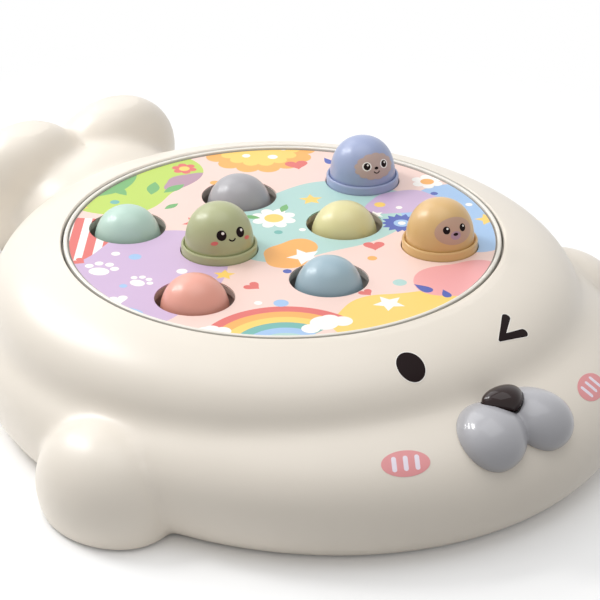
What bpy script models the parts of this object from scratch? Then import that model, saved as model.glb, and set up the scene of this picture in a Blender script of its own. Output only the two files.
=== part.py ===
"""Mole pounding game in the shape of a lying seal pup.

The moulded body holds a round deck with eight holes. In each hole a mole cap slides up and
down on a steel plunger. A spring lifts the cap, and a latching coil under it holds a cap that
has been hit. The base closes the body from below and carries the batteries and the speaker.

Metres, +Z up. The seal looks towards -Y. The origin is on the floor under the middle of the
whole toy. Shapes are modelled round the deck's axis and then moved by one parent empty.
"""

import math
from collections import namedtuple

import bmesh
import bpy
from mathutils import Euler, Vector

# General fits
FIT = 0.0003            # gap between pieces that rest on each other
SLIDE_GAP = 0.0004      # running gap round pieces that slide
WALL = 0.0025           # moulded body wall
OVERRUN = 0.002         # how far a cutter passes the face it cuts
WELD = 0.000002         # corners closer than this become one

# Body: a flat-topped dome rising out of a round skirt, centred on the deck's axis in X
DECK_TOP = 0.0667       # top of the rim round the deck
BODY_FLOOR = 0.0012     # lower edge of the body above the ground
DOME_HALF_WIDTH = 0.1206
DOME_HALF_LENGTH = 0.1263
DOME_HALF_HEIGHT = 0.0448
DOME_CENTRE_Y = -0.0019
DOME_CENTRE_Z = 0.0265
DOME_POWER = 3.64
SKIRT_HALF_WIDTH = 0.1297
SKIRT_HALF_LENGTH = 0.1459
SKIRT_HALF_HEIGHT = 0.0396
SKIRT_CENTRE_Y = -0.0122
SKIRT_CENTRE_Z = 0.0193
SKIRT_POWER = 2.4
CREASE_BLEND = 0.010    # softens the crease between dome and skirt
BODY_SIDES = 40
BODY_LEVELS = 9
CROWN_SHARE = 0.96      # height of the form's topmost ring, as a share of the dome's

# Rounded lobes: flippers, tail, muzzle pads and nose
FLIPPER_SINK = 0.0102   # centre inside the body's widest side
FLIPPER_Y = -0.0453
FLIPPER_Z = 0.0120
FLIPPER_RADII = (0.0250, 0.0321, 0.0270)
TAIL_OFF_MIDDLE = 0.0245
TAIL_REACH = 0.0300     # centre behind the body's back end
TAIL_Z = 0.0355
TAIL_RADII = (0.0326, 0.0232, 0.0350)
TAIL_LEAN = 0.43
ROOT_SINK = 0.0007
ROOT_Z = 0.0300
ROOT_RADII = (0.0420, 0.0280, 0.0270)
PAD_OFF_MIDDLE = 0.0108
PAD_SINK = 0.0018       # centre behind the body's surface at its height
PAD_DROP = 0.0185       # centre below the skirt's crest
PAD_RADII = (0.0136, 0.0161, 0.0106)
PAD_YAW = 0.38
PAD_LEAN = 0.22
PAD_THINNING = 0.18     # how much thinner the pads are behind than in their middle, as a share
NOSE_SINK = 0.0054      # centre behind the pads' centres
NOSE_RISE = 0.0095      # centre above the pads' centres
NOSE_RADII = (0.0083, 0.0066, 0.0046)
NOSE_TAPER = 0.30       # how much narrower the nose is at its front than in its middle, as a share
LOBE_SIDES = 20
LOBE_RINGS = 10
SMALL_LOBE_SIDES = 14       # nose, and the hollows inside the lobes
SMALL_LOBE_RINGS = 8

# Deck: a round plate with a rim, guide tubes, posts and snap hooks
DECK_R = 0.0900
RIM_WIDTH = 0.0020
RIM_EDGE = 0.0006       # rounding of the rim's top
PRINT_DROP = 0.0010     # printed sheet below the rim
PRINT_T = 0.0005
DECK_T = 0.0025
DECK_TURN = math.radians(-12.4)
LEDGE_REACH = 0.0058    # how far the body's ledge runs in under the deck
LEDGE_T = 0.0025
DECK_SIDES = 40
TUBE_WALL = 0.0015
TUBE_LENGTH = 0.0165
POST_R = 0.0040
POST_LENGTH = 0.0201
POST_INSET = 0.0122     # posts in from the ledge's edge
POST_COUNT = 3
HOOK_COUNT = 6
HOOK_WIDTH = 0.0080
HOOK_T = 0.0016
HOOK_CATCH = 0.0020

# Moles: places are shares of the rim's inner radius, X then Y, before the deck's turn
MOLE_PLACE_SHARES = {
    "teal": (-0.618, 0.397),
    "grey": (0.0, 0.492),
    "lavender": (0.618, 0.397),
    "olive": (-0.322, 0.0),
    "yellow": (0.322, 0.0),
    "pink": (-0.618, -0.397),
    "blue": (0.0, -0.492),
    "orange": (0.618, -0.397),
}
RAISED_MOLES = ("lavender", "olive", "orange")
MOLE_COLOURS = {
    "teal": (0.50, 0.72, 0.66),
    "grey": (0.42, 0.41, 0.45),
    "lavender": (0.38, 0.46, 0.68),
    "olive": (0.44, 0.46, 0.27),
    "yellow": (0.72, 0.69, 0.38),
    "pink": (0.85, 0.48, 0.40),
    "blue": (0.36, 0.52, 0.61),
    "orange": (0.80, 0.52, 0.23),
}
HOLE_R = 0.0159
HOLE_SIDES = 16
TRAVEL = 0.0110
DOME_R = 0.0134
DOME_H = 0.0175
CAP_POWER = 2.3
COLLAR_RISE = 0.0036    # top of a raised cap's collar above the print
GROOVE_DEPTH = 0.0011   # groove between dome and collar
COLLAR_EDGE = 0.0006    # rounding of the collar's top
GROOVE_WIDTH = 0.0005
LIP_REACH = 0.0014
LIP_T = 0.0015
CAP_WALL = 0.0016
CAP_SIDES = 16
CAP_DOME_SHARES = (0.42, 0.74, 0.93)    # radii of the outer dome's rings
CAP_CEILING_SHARE = 0.65  # radius of the flat ceiling that the plunger's head meets
PLUNGER_R = 0.0020
PLUNGER_HEAD_R = 0.0060
PLUNGER_HEAD_T = 0.0018
PLUNGER_SIDES = 8
COIL_R = 0.0080
COIL_FLANGE_T = 0.0010
COIL_WAIST = 0.0012     # winding below the flanges' edge
COIL_H = 0.0130
COIL_SIDES = 8
SPRING_R = 0.0042
SPRING_WIRE_R = 0.00045
SPRING_TURNS = 3
SPRING_STEPS = 7
SPRING_WIRE_SIDES = 3

# Mechanism plate and circuit board below the deck
PLATE_INSET = 0.0027    # plate's edge in from the ledge's edge
PLATE_T = 0.0020
PLATE_HOLE_R = 0.0026
SPACER_R = 0.0040
SPACER_H = 0.0036
BOARD_INSET = 0.0062    # board's edge in from the ledge's edge
BOARD_T = 0.0016
HIT_SWITCH_HALF = 0.0030
HIT_SWITCH_BODY_H = 0.0025
HIT_SWITCH_BUTTON_H = 0.0010
HIT_SWITCH_BUTTON_R = 0.0016

# Screws
SCREW_R = 0.00125
SCREW_HEAD_R = 0.0027
SCREW_HEAD_T = 0.0016
SCREW_LENGTH = 0.0100
SCREW_SIDES = 8

# Base cover
COVER_T = 0.0025
BOSS_R = 0.0040
BOSS_SHARE = 0.86       # boss centre as a share of the body's reach
BOSS_ANGLES = tuple(math.radians(a) for a in (28, 152, 208, 332))
SINK_DEPTH = 0.0014     # counterbore under each base screw
FOOT_R = 0.0070
FOOT_T = 0.0022
FRONT_FOOT = (0.0850, -0.0750)
REAR_FOOT = (0.0800, 0.0700)

# Batteries
CELL_R = 0.00725
CELL_LENGTH = 0.0495
CELL_COUNT = 3
CELL_NUB_R = 0.0027
CELL_NUB_H = 0.0010
BAY_CENTRE_Y = 0.0450
BAY_WALL = 0.0018
BAY_LEDGE = 0.0010      # rim that the battery cover closes against
BATTERY_COVER_T = 0.0014
TAB_REACH = 0.0130
TAB_HALF = 0.0070
CUP_R = 0.0045
CUP_DEPTH = 0.0030

# Speaker
SPEAKER_AT = (0.0, -0.0600)
SPEAKER_R = 0.0200
SPEAKER_FLANGE_T = 0.0020
SPEAKER_MAGNET_R = 0.0110
SPEAKER_H = 0.0110
SPEAKER_SIDES = 16
SPEAKER_RING_H = 0.0040
GRILLE_SLOT_W = 0.0016
GRILLE_PITCH = 0.0044
GRILLE_COUNT = 7
GRILLE_MARGIN = 0.0040

# Power switch on the underside
POWER_AT = (0.0560, 0.0250)
POWER_TRAVEL = 0.0040
KNOB_HALF = 0.0018
KNOB_STEM_HALF = 0.0010
KNOB_LIFT = 0.0003      # knob's face above the cover's lower face
POWER_BODY_HALF = (0.0090, 0.0040)
POWER_BODY_H = 0.0060

# Muzzle and nose
MUZZLE_WALL = 0.0020
PEG_R = 0.0022
PEG_LENGTH = 0.0200
NOSE_TRAVEL = 0.0015
NOSE_STEM_R = 0.0030
NOSE_STEM_LENGTH = 0.0180
NOSE_POST_R = 0.0045
NOSE_BOARD_HALF = 0.0060

# Heights that follow from the sizes above
PRINT_TOP = DECK_TOP - PRINT_DROP
DECK_FACE = PRINT_TOP - PRINT_T - FIT
DECK_UNDER = DECK_FACE - DECK_T
LEDGE_TOP = DECK_UNDER - FIT
LEDGE_UNDER = LEDGE_TOP - LEDGE_T
PLATE_TOP = DECK_UNDER - POST_LENGTH - FIT
PLATE_UNDER = PLATE_TOP - PLATE_T
BOARD_TOP = PLATE_UNDER - SPACER_H - FIT
BOARD_UNDER = BOARD_TOP - BOARD_T
COIL_BOTTOM = PLATE_TOP + FIT
COIL_TOP = COIL_BOTTOM + COIL_H
HIT_SWITCH_TOP = BOARD_TOP + HIT_SWITCH_BODY_H + HIT_SWITCH_BUTTON_H
COVER_UNDER = BODY_FLOOR + FIT
COVER_TOP = COVER_UNDER + COVER_T

# Radii that follow
RIM_INNER_R = DECK_R - RIM_WIDTH
OPENING_R = DECK_R + FIT
LEDGE_R = DECK_R - LEDGE_REACH
SEAT_R = OPENING_R + WALL
POST_OUT = LEDGE_R - POST_INSET
PLATE_R = LEDGE_R - PLATE_INSET
BOARD_R = LEDGE_R - BOARD_INSET
COLLAR_R = HOLE_R - SLIDE_GAP
LIP_R = COLLAR_R + LIP_REACH
TUBE_BORE_R = LIP_R + SLIDE_GAP
TUBE_R = TUBE_BORE_R + TUBE_WALL
CAP_BORE_R = DOME_R - CAP_WALL
SKIRT_BORE_R = COLLAR_R - CAP_WALL
COIL_BORE_R = PLUNGER_R + SLIDE_GAP
PILOT_R = SCREW_R + FIT

# Heights inside a raised mole
CAP_LIP_TOP = DECK_UNDER - FIT
CAP_LIP_UNDER = CAP_LIP_TOP - LIP_T
COLLAR_TOP = PRINT_TOP + COLLAR_RISE
CAP_BASE = COLLAR_TOP - GROOVE_DEPTH
PLUNGER_UNDER = HIT_SWITCH_TOP + FIT + TRAVEL


def cap_height(radius, base_radius, height):
    """Height of the mole's rounded top over its base at a distance from its axis."""
    share = min(radius / base_radius, 1.0)
    return height * (1.0 - share ** CAP_POWER) ** (1.0 / CAP_POWER)


CEILING_R = CAP_CEILING_SHARE * CAP_BORE_R
CEILING_Z = CAP_BASE + cap_height(CEILING_R, CAP_BORE_R, DOME_H - CAP_WALL)
PLUNGER_TOP = CEILING_Z - FIT
SPRING_BOTTOM = COIL_TOP + FIT
SPRING_TOP = PLUNGER_TOP - PLUNGER_HEAD_T - FIT


# Plain building tools

def clear_scene():
    for item in list(bpy.data.objects):
        bpy.data.objects.remove(item, do_unlink=True)


def finish(name, colour, roughness, metallic=0.0):
    """A plain Principled material."""
    made = bpy.data.materials.new(name)
    made.use_nodes = True
    shader = made.node_tree.nodes["Principled BSDF"]
    shader.inputs["Base Color"].default_value = (*colour, 1.0)
    shader.inputs["Roughness"].default_value = roughness
    shader.inputs["Metallic"].default_value = metallic
    made.diffuse_color = (*colour, 1.0)
    return made


def add_solid(name, points, faces, at=(0.0, 0.0, 0.0)):
    mesh = bpy.data.meshes.new(name)
    mesh.from_pydata([tuple(p) for p in points], [], faces)
    made = bpy.data.objects.new(name, mesh)
    made.location = at
    bpy.context.scene.collection.objects.link(made)
    tidy_mesh(mesh)
    return made


def tidy_mesh(mesh):
    shaped = bmesh.new()
    shaped.from_mesh(mesh)
    loose = [vertex for vertex in shaped.verts if not vertex.link_faces]
    bmesh.ops.delete(shaped, geom=loose, context="VERTS")
    bmesh.ops.recalc_face_normals(shaped, faces=shaped.faces)
    shaped.to_mesh(mesh)
    shaped.free()


def ring_faces(rings, sides):
    """Quads between neighbouring rings of points, lowest ring first, counted from zero."""
    faces = []
    for ring in range(rings - 1):
        for side in range(sides):
            after = (side + 1) % sides
            low, high = ring * sides, (ring + 1) * sides
            faces.append((low + side, low + after, high + after, high + side))
    return faces


def loft(name, rings):
    """A closed solid through rings of points, with flat ends."""
    sides = len(rings[0])
    points = [point for ring in rings for point in ring]
    faces = ring_faces(len(rings), sides)
    faces.append(tuple(range(sides)))
    faces.append(tuple(range(len(points) - sides, len(points))))
    return add_solid(name, points, faces)


def turned(name, profile, sides, at=(0.0, 0.0, 0.0)):
    """Turns a closed outline of (radius, height) about Z. It may start and end on the axis."""
    points, faces, rings = [], [], []
    for radius, height in profile:
        count = sides if radius else 1
        rings.append(list(range(len(points), len(points) + count)))
        for side in range(count):
            angle = math.tau * side / sides
            points.append((radius * math.cos(angle), radius * math.sin(angle), height))
    for first, second in zip(rings, rings[1:] + rings[:1]):
        ring = max(first, second, key=len)
        flat = points[first[0]][2] == points[second[0]][2]
        pole = min(first, second, key=len)[0]
        if len(ring) == 1:
            continue
        if len(first) != len(second) and flat:
            faces.append(tuple(ring))
            continue
        for side in range(sides):
            after = (side + 1) % sides
            if len(first) != len(second):
                faces.append((pole, ring[side], ring[after]))
            else:
                faces.append((first[side], first[after], second[after], second[side]))
    return add_solid(name, points, faces, at)


def rod(name, radius, low, high, sides, at=(0.0, 0.0)):
    """An upright cylinder from one height to another."""
    profile = [(0.0, low), (radius, low), (radius, high), (0.0, high)]
    return turned(name, profile, sides, (*at, 0.0))


def pipe(name, bore, radius, low, high, sides, at=(0.0, 0.0)):
    profile = [(bore, low), (radius, low), (radius, high), (bore, high)]
    return turned(name, profile, sides, (*at, 0.0))


def block(name, low, high):
    """A box between two corners."""
    corners = ((low[0], low[1]), (high[0], low[1]), (high[0], high[1]), (low[0], high[1]))
    return loft(name, [[(x, y, z) for x, y in corners] for z in (low[2], high[2])])


def lobe_turn(lobe):
    return Euler((lobe.lean, 0.0, lobe.yaw), "XYZ").to_matrix()


def mirrored(lobe):
    x, y, z = lobe.centre
    return lobe._replace(centre=(-x, y, z), yaw=-lobe.yaw)


def lobe_solid(name, lobe, inset=0.0, sink=0.0, sides=LOBE_SIDES, rings=LOBE_RINGS):
    """A rounded lobe, narrower in front by its taper, thinner behind by its thinning.

    Sink deepens its lower half.
    """
    turn = lobe_turn(lobe)
    radii = [radius - inset for radius in lobe.radii]
    rows = []
    for ring in range(1, rings):
        tilt = math.pi * ring / rings - math.pi / 2
        row = []
        for side in range(sides):
            angle = math.tau * side / sides
            forward = math.cos(tilt) * math.sin(angle)
            local = Vector((
                radii[0] * math.cos(tilt) * math.cos(angle) * (1.0 + lobe.taper * forward),
                radii[1] * forward,
                radii[2] * math.sin(tilt) * (1.0 - lobe.thinning * forward)))
            point = turn @ local + Vector(lobe.centre)
            row.append(point - Vector((0.0, 0.0, sink if tilt < 0 else 0.0)))
        rows.append(row)
    points = [point for row in rows for point in row]
    faces = ring_faces(len(rows), sides)
    for end, row, drop in ((-1, 0, sink), (1, len(rows) - 1, 0.0)):
        pole = turn @ Vector((0.0, 0.0, end * radii[2])) + Vector(lobe.centre)
        points.append(pole - Vector((0.0, 0.0, drop)))
        for side in range(sides):
            after = (side + 1) % sides
            faces.append((len(points) - 1, row * sides + side, row * sides + after))
    return add_solid(name, points, faces)


def lobe_hollow(name, lobe, wall):
    """The plainer space inside a lobe's wall."""
    return lobe_solid(name, lobe, wall, 0.0, SMALL_LOBE_SIDES, SMALL_LOBE_RINGS)


def combine(target, tool, operation):
    """Cuts, joins or keeps the overlap of two solids, then drops the tool."""
    step = target.modifiers.new(operation.lower(), "BOOLEAN")
    step.object = tool
    step.operation = operation
    step.solver = "EXACT"
    graph = bpy.context.evaluated_depsgraph_get()
    mesh = bpy.data.meshes.new_from_object(target.evaluated_get(graph))
    target.modifiers.clear()
    target.data = mesh
    bpy.data.objects.remove(tool, do_unlink=True)
    shaped = bmesh.new()
    shaped.from_mesh(mesh)
    bmesh.ops.remove_doubles(shaped, verts=shaped.verts, dist=WELD)
    shaped.to_mesh(mesh)
    shaped.free()
    return target


def cut(target, *tools):
    for tool in tools:
        combine(target, tool, "DIFFERENCE")
    return target


def add(target, *tools):
    for tool in tools:
        combine(target, tool, "UNION")
    return target


def gathered(name, solids):
    """Several separate solids as one object, at the origin."""
    shaped = bmesh.new()
    for solid in solids:
        mesh = solid.data.copy()
        mesh.transform(solid.matrix_basis)
        shaped.from_mesh(mesh)
        bpy.data.meshes.remove(mesh)
        bpy.data.objects.remove(solid, do_unlink=True)
    mesh = bpy.data.meshes.new(name)
    shaped.to_mesh(mesh)
    shaped.free()
    made = bpy.data.objects.new(name, mesh)
    bpy.context.scene.collection.objects.link(made)
    return made


def dress(target, material, name, crease=math.radians(35)):
    """Gives a finished piece its name, its material and smooth shading."""
    target.name = name
    target.data.name = name
    target.data.materials.clear()
    target.data.materials.append(material)
    target.data.shade_smooth()
    target.data.set_sharp_from_angle(angle=crease)
    return target


def deck_point(x, y):
    """A point given along the deck's own axes, as it lies on the toy."""
    cosine, sine = math.cos(DECK_TURN), math.sin(DECK_TURN)
    return (cosine * x - sine * y, sine * x + cosine * y)


def mole_point(mole):
    share_x, share_y = MOLE_PLACE_SHARES[mole]
    return deck_point(share_x * RIM_INNER_R, share_y * RIM_INNER_R)


def post_points():
    turns = [math.tau * number / POST_COUNT for number in range(POST_COUNT)]
    return [deck_point(POST_OUT * math.cos(turn), POST_OUT * math.sin(turn)) for turn in turns]


# The body's skin

def oval_reach(angle, centre_y, half_x, half_y):
    """Distance from the deck's axis to an oval that lies off it along Y."""
    cosine, sine = math.cos(angle), math.sin(angle)
    a = (cosine / half_x) ** 2 + (sine / half_y) ** 2
    b = -2.0 * sine * centre_y / half_y ** 2
    c = (centre_y / half_y) ** 2 - 1.0
    return (-b + math.sqrt(b * b - 4.0 * a * c)) / (2.0 * a)


def level_share(z, centre_z, half_height, power):
    """How wide a rounded form is at a height, as a share of its widest."""
    share = min(abs(z - centre_z) / half_height, 1.0)
    return (1.0 - share ** power) ** (1.0 / power)


def body_reach(angle, z, inset=0.0):
    """The body's radius from the deck's axis, drawn in by an inset, with its crease softened."""
    dome = level_share(z, DOME_CENTRE_Z, DOME_HALF_HEIGHT - inset, DOME_POWER)
    skirt = level_share(z, SKIRT_CENTRE_Z, SKIRT_HALF_HEIGHT - inset, SKIRT_POWER)
    reaches = []
    for share, centre_y, half_x, half_y in (
        (dome, DOME_CENTRE_Y, DOME_HALF_WIDTH, DOME_HALF_LENGTH),
        (skirt, SKIRT_CENTRE_Y, SKIRT_HALF_WIDTH, SKIRT_HALF_LENGTH),
    ):
        half_x, half_y = (half_x - inset) * share, (half_y - inset) * share
        if half_y > abs(centre_y):
            reaches.append(oval_reach(angle, centre_y, half_x, half_y))
    if len(reaches) == 1:
        return reaches[0]
    apart = max(0.0, 1.0 - abs(reaches[0] - reaches[1]) / CREASE_BLEND)
    return max(reaches) + CREASE_BLEND * apart ** 2 / 4.0


def body_form(name, inset, bottom):
    """The body's form drawn in by an inset, from a bottom height to above the deck."""
    crown = DOME_CENTRE_Z + CROWN_SHARE * (DOME_HALF_HEIGHT - inset)
    rise = (DECK_TOP - inset - BODY_FLOOR) / BODY_LEVELS
    heights = [BODY_FLOOR + rise * level for level in range(BODY_LEVELS + 1)]
    heights[0] = bottom
    rings = []
    for z in heights + [crown]:
        ring = []
        for side in range(BODY_SIDES):
            angle = math.tau * (side + 0.5) / BODY_SIDES
            reach = body_reach(angle, max(z, BODY_FLOOR), inset)
            ring.append((reach * math.cos(angle), reach * math.sin(angle), z))
        rings.append(ring)
    return loft(name, rings)


# Lobes, placed by the body that they grow from

Lobe = namedtuple("Lobe", "centre radii yaw lean taper thinning", defaults=(0.0, 0.0, 0.0, 0.0))
BODY_SIDE = max(SKIRT_HALF_WIDTH, DOME_HALF_WIDTH)
BODY_BACK = max(SKIRT_CENTRE_Y + SKIRT_HALF_LENGTH, DOME_CENTRE_Y + DOME_HALF_LENGTH)
FLIPPER_LEFT = Lobe((BODY_SIDE - FLIPPER_SINK, FLIPPER_Y, FLIPPER_Z), FLIPPER_RADII)
TAIL_LEFT = Lobe((TAIL_OFF_MIDDLE, BODY_BACK + TAIL_REACH, TAIL_Z), TAIL_RADII, lean=TAIL_LEAN)
TAIL_ROOT = Lobe((0.0, BODY_BACK - ROOT_SINK, ROOT_Z), ROOT_RADII)
PAD_Z = SKIRT_CENTRE_Z + SKIRT_HALF_HEIGHT - PAD_DROP
PAD_Y = PAD_SINK - body_reach(-math.pi / 2, PAD_Z)
MUZZLE_LEFT = Lobe(
    (PAD_OFF_MIDDLE, PAD_Y, PAD_Z), PAD_RADII, yaw=PAD_YAW, lean=PAD_LEAN, thinning=PAD_THINNING)
NOSE = Lobe((0.0, PAD_Y + NOSE_SINK, PAD_Z + NOSE_RISE), NOSE_RADII, taper=NOSE_TAPER)
TOY_REACH = SKIRT_HALF_LENGTH + TAIL_LEFT.centre[1]     # past the toy's ends from the deck's axis


def body_shell():
    """The moulded body: dome, skirt, flippers and tail as one thin shell, open below."""
    lobes = [FLIPPER_LEFT, mirrored(FLIPPER_LEFT), TAIL_ROOT, TAIL_LEFT, mirrored(TAIL_LEFT)]
    shell = body_form("body_shell", 0.0, BODY_FLOOR - OVERRUN)
    cut(shell, crown_block("crown"))
    cavity = body_form("cavity", WALL, BODY_FLOOR - 2 * OVERRUN)
    for number, lobe in enumerate(lobes):
        add(shell, lobe_solid(f"lobe_{number}", lobe))
        add(cavity, lobe_hollow(f"hollow_{number}", lobe, WALL))
    cut(cavity, rod("deck_seat", SEAT_R, LEDGE_UNDER, DECK_TOP + OVERRUN, DECK_SIDES))
    bosses = [
        rod(f"boss_{number}", BOSS_R, COVER_TOP + FIT, DECK_TOP, CAP_SIDES, at)
        for number, at in enumerate(boss_points())
    ]
    cut(cavity, gathered("bosses", bosses))
    tip = screw_tip(base_screw_height()) + FIT
    pilots = [
        rod(f"pilot_{number}", PILOT_R, COVER_TOP, tip, SCREW_SIDES, at)
        for number, at in enumerate(boss_points())
    ]
    cut(shell, cavity, gathered("pilots", pilots), ground_block("ground", BODY_FLOOR))
    stepped = [
        (0.0, LEDGE_UNDER - OVERRUN),
        (LEDGE_R, LEDGE_UNDER - OVERRUN),
        (LEDGE_R, LEDGE_TOP),
        (OPENING_R, LEDGE_TOP),
        (OPENING_R, DECK_TOP + OVERRUN),
        (0.0, DECK_TOP + OVERRUN),
    ]
    low = peg_bottom() - OVERRUN
    pegs = [
        rod(f"peg_hole_{side}", PEG_R + FIT, low, peg_top(), SCREW_SIDES, peg_point(side))
        for side in (-1, 1)
    ]
    return cut(shell, turned("deck_way", stepped, DECK_SIDES), *pegs, *nose_way())


def ground_block(name, top):
    """Everything below a height, wide enough for the whole toy."""
    far = TOY_REACH
    return block(name, (-far, -far, top - far), (far, far, top))


def crown_block(name):
    """Everything above the deck's rim, where the dome is cut flat."""
    far = TOY_REACH
    return block(name, (-far, -far, DECK_TOP), (far, far, DECK_TOP + far))


def boss_points():
    """Where the base screws into the body, inside its wall."""
    points = []
    for angle in BOSS_ANGLES:
        reach = BOSS_SHARE * body_reach(angle, COVER_TOP)
        points.append((reach * math.cos(angle), reach * math.sin(angle)))
    return points


def base_screw_height():
    return COVER_UNDER + SINK_DEPTH - FIT - SCREW_HEAD_T


def screw_tip(head_under, length=SCREW_LENGTH):
    return head_under + length


def nose_way():
    """The well and the stem hole that the nose button moves in."""
    well = lobe_solid(
        "nose_well", NOSE, -SLIDE_GAP, NOSE_TRAVEL + FIT, SMALL_LOBE_SIDES, SMALL_LOBE_RINGS)
    x, y, z = NOSE.centre
    low = nose_stem_under() - NOSE_TRAVEL - OVERRUN
    return (well, rod("stem_way", NOSE_STEM_R + SLIDE_GAP, low, z, COIL_SIDES, (x, y)))


def nose_stem_under():
    return NOSE.centre[2] - NOSE_STEM_LENGTH


def nose_board_top():
    return nose_stem_under() - NOSE_TRAVEL - FIT - HIT_SWITCH_BODY_H - HIT_SWITCH_BUTTON_H


def peg_point(side):
    return (side * MUZZLE_LEFT.centre[0], MUZZLE_LEFT.centre[1])


def peg_top():
    return MUZZLE_LEFT.centre[2] + MUZZLE_LEFT.radii[2] - MUZZLE_WALL


def peg_bottom():
    return peg_top() - PEG_LENGTH


# Muzzle and nose

def muzzle():
    """Two rounded pads as one thin moulding, closed against the body and held by two pegs."""
    pads = lobe_solid("muzzle", MUZZLE_LEFT)
    add(pads, lobe_solid("right_pad", mirrored(MUZZLE_LEFT)))
    hollow = lobe_hollow("left_hollow", MUZZLE_LEFT, MUZZLE_WALL)
    add(hollow, lobe_hollow("right_hollow", mirrored(MUZZLE_LEFT), MUZZLE_WALL))
    cut(pads, hollow, body_form("body_face", -FIT, BODY_FLOOR))
    root = peg_top() + MUZZLE_WALL / 2
    pegs = [
        rod(f"peg_{side}", PEG_R, peg_bottom(), root, COIL_SIDES, peg_point(side))
        for side in (-1, 1)
    ]
    add(pads, gathered("pegs", pegs))
    return cut(pads, *nose_way())


def nose_button():
    nose = lobe_solid("nose_button", NOSE, 0.0, 0.0, SMALL_LOBE_SIDES, SMALL_LOBE_RINGS)
    x, y, z = NOSE.centre
    add(nose, rod("nose_stem", NOSE_STEM_R, nose_stem_under(), z, COIL_SIDES, (x, y)))
    return set_origin(nose, NOSE.centre)


def set_origin(target, point):
    """Moves a piece's origin, and leaves the piece where it is."""
    shift = Vector(point) - target.location
    for vertex in target.data.vertices:
        vertex.co -= shift
    target.location = point
    return target


def push_switch(name, board_top, at):
    """A square push switch with a round button, soldered to a board."""
    x, y = at
    half = HIT_SWITCH_HALF
    root = board_top - BOARD_T / 2
    body_top = board_top + HIT_SWITCH_BODY_H
    made = block(name, (x - half, y - half, root), (x + half, y + half, body_top))
    top = body_top + HIT_SWITCH_BUTTON_H
    button = rod("button", HIT_SWITCH_BUTTON_R, body_top - HIT_SWITCH_BUTTON_H, top, SCREW_SIDES, at)
    return add(made, button)


def nose_switch():
    """The nose's switch on its own small board."""
    x, y, _ = NOSE.centre
    half = NOSE_BOARD_HALF
    top = nose_board_top()
    board = block("nose_switch", (x - half, y - half, top - BOARD_T), (x + half, y + half, top))
    return add(board, push_switch("nose_push", top, (x, y)))


# Deck and its print

def game_deck():
    """The white plate: rim, guide tubes, screw posts and the hooks that snap it in."""
    profile = [
        (0.0, DECK_UNDER),
        (DECK_R, DECK_UNDER),
        (DECK_R, DECK_TOP - RIM_EDGE),
        (DECK_R - RIM_EDGE, DECK_TOP),
        (RIM_INNER_R + RIM_EDGE, DECK_TOP),
        (RIM_INNER_R, DECK_TOP - RIM_EDGE),
        (RIM_INNER_R, DECK_FACE),
        (0.0, DECK_FACE),
    ]
    deck = turned("game_deck", profile, DECK_SIDES)
    inside = DECK_UNDER + DECK_T / 2
    carriers = [
        rod(f"tube_{mole}", TUBE_R, DECK_UNDER - TUBE_LENGTH, inside, HOLE_SIDES, mole_point(mole))
        for mole in MOLE_PLACE_SHARES
    ]
    for number, at in enumerate(post_points()):
        carriers.append(rod(f"post_{number}", POST_R, DECK_UNDER - POST_LENGTH, inside, COIL_SIDES, at))
    for number in range(HOOK_COUNT):
        carriers.append(snap_hook(f"hook_{number}", math.tau * number / HOOK_COUNT, inside))
    add(deck, *carriers)
    stepped = [
        (0.0, DECK_UNDER - TUBE_LENGTH - OVERRUN),
        (TUBE_BORE_R, DECK_UNDER - TUBE_LENGTH - OVERRUN),
        (TUBE_BORE_R, DECK_UNDER),
        (HOLE_R, DECK_UNDER),
        (HOLE_R, DECK_TOP + OVERRUN),
        (0.0, DECK_TOP + OVERRUN),
    ]
    ways = [
        turned(f"way_{mole}", stepped, HOLE_SIDES, (*mole_point(mole), 0.0))
        for mole in MOLE_PLACE_SHARES
    ]
    for number, at in enumerate(post_points()):
        low = DECK_UNDER - POST_LENGTH - OVERRUN
        high = screw_tip(deck_screw_height(), deck_screw_length()) + FIT
        ways.append(rod(f"post_pilot_{number}", PILOT_R, low, high, SCREW_SIDES, at))
    return cut(deck, gathered("ways", ways))


def snap_hook(name, angle, top):
    """A springy arm under the deck whose nose catches below the body's ledge."""
    outer = LEDGE_R - SLIDE_GAP
    inner = outer - HOOK_T
    catch_top = LEDGE_UNDER - FIT
    catch_under = catch_top - HOOK_T
    outline = [
        (inner, catch_under),
        (outer, catch_under),
        (LEDGE_R + HOOK_CATCH, catch_top),
        (outer, catch_top),
        (outer, top),
        (inner, top),
    ]
    turn = DECK_TURN + angle
    rows = []
    for across in (-HOOK_WIDTH / 2, HOOK_WIDTH / 2):
        row = []
        for out, z in outline:
            x = out * math.cos(turn) - across * math.sin(turn)
            y = out * math.sin(turn) + across * math.cos(turn)
            row.append((x, y, z))
        rows.append(row)
    return loft(name, rows)


def deck_screw_height():
    return BOARD_UNDER - FIT - SCREW_HEAD_T


def deck_screw_length():
    """Long enough to reach half a base screw's length into the post."""
    post_under = DECK_UNDER - POST_LENGTH
    return post_under + SCREW_LENGTH / 2 - deck_screw_height()


def deck_print():
    sheet = rod("deck_print", RIM_INNER_R - FIT, PRINT_TOP - PRINT_T, PRINT_TOP, DECK_SIDES)
    low, high = PRINT_TOP - OVERRUN, PRINT_TOP + OVERRUN
    holes = [
        rod(f"print_{mole}", HOLE_R, low, high, HOLE_SIDES, mole_point(mole))
        for mole in MOLE_PLACE_SHARES
    ]
    return cut(sheet, gathered("print_holes", holes))


# Moles

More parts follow.
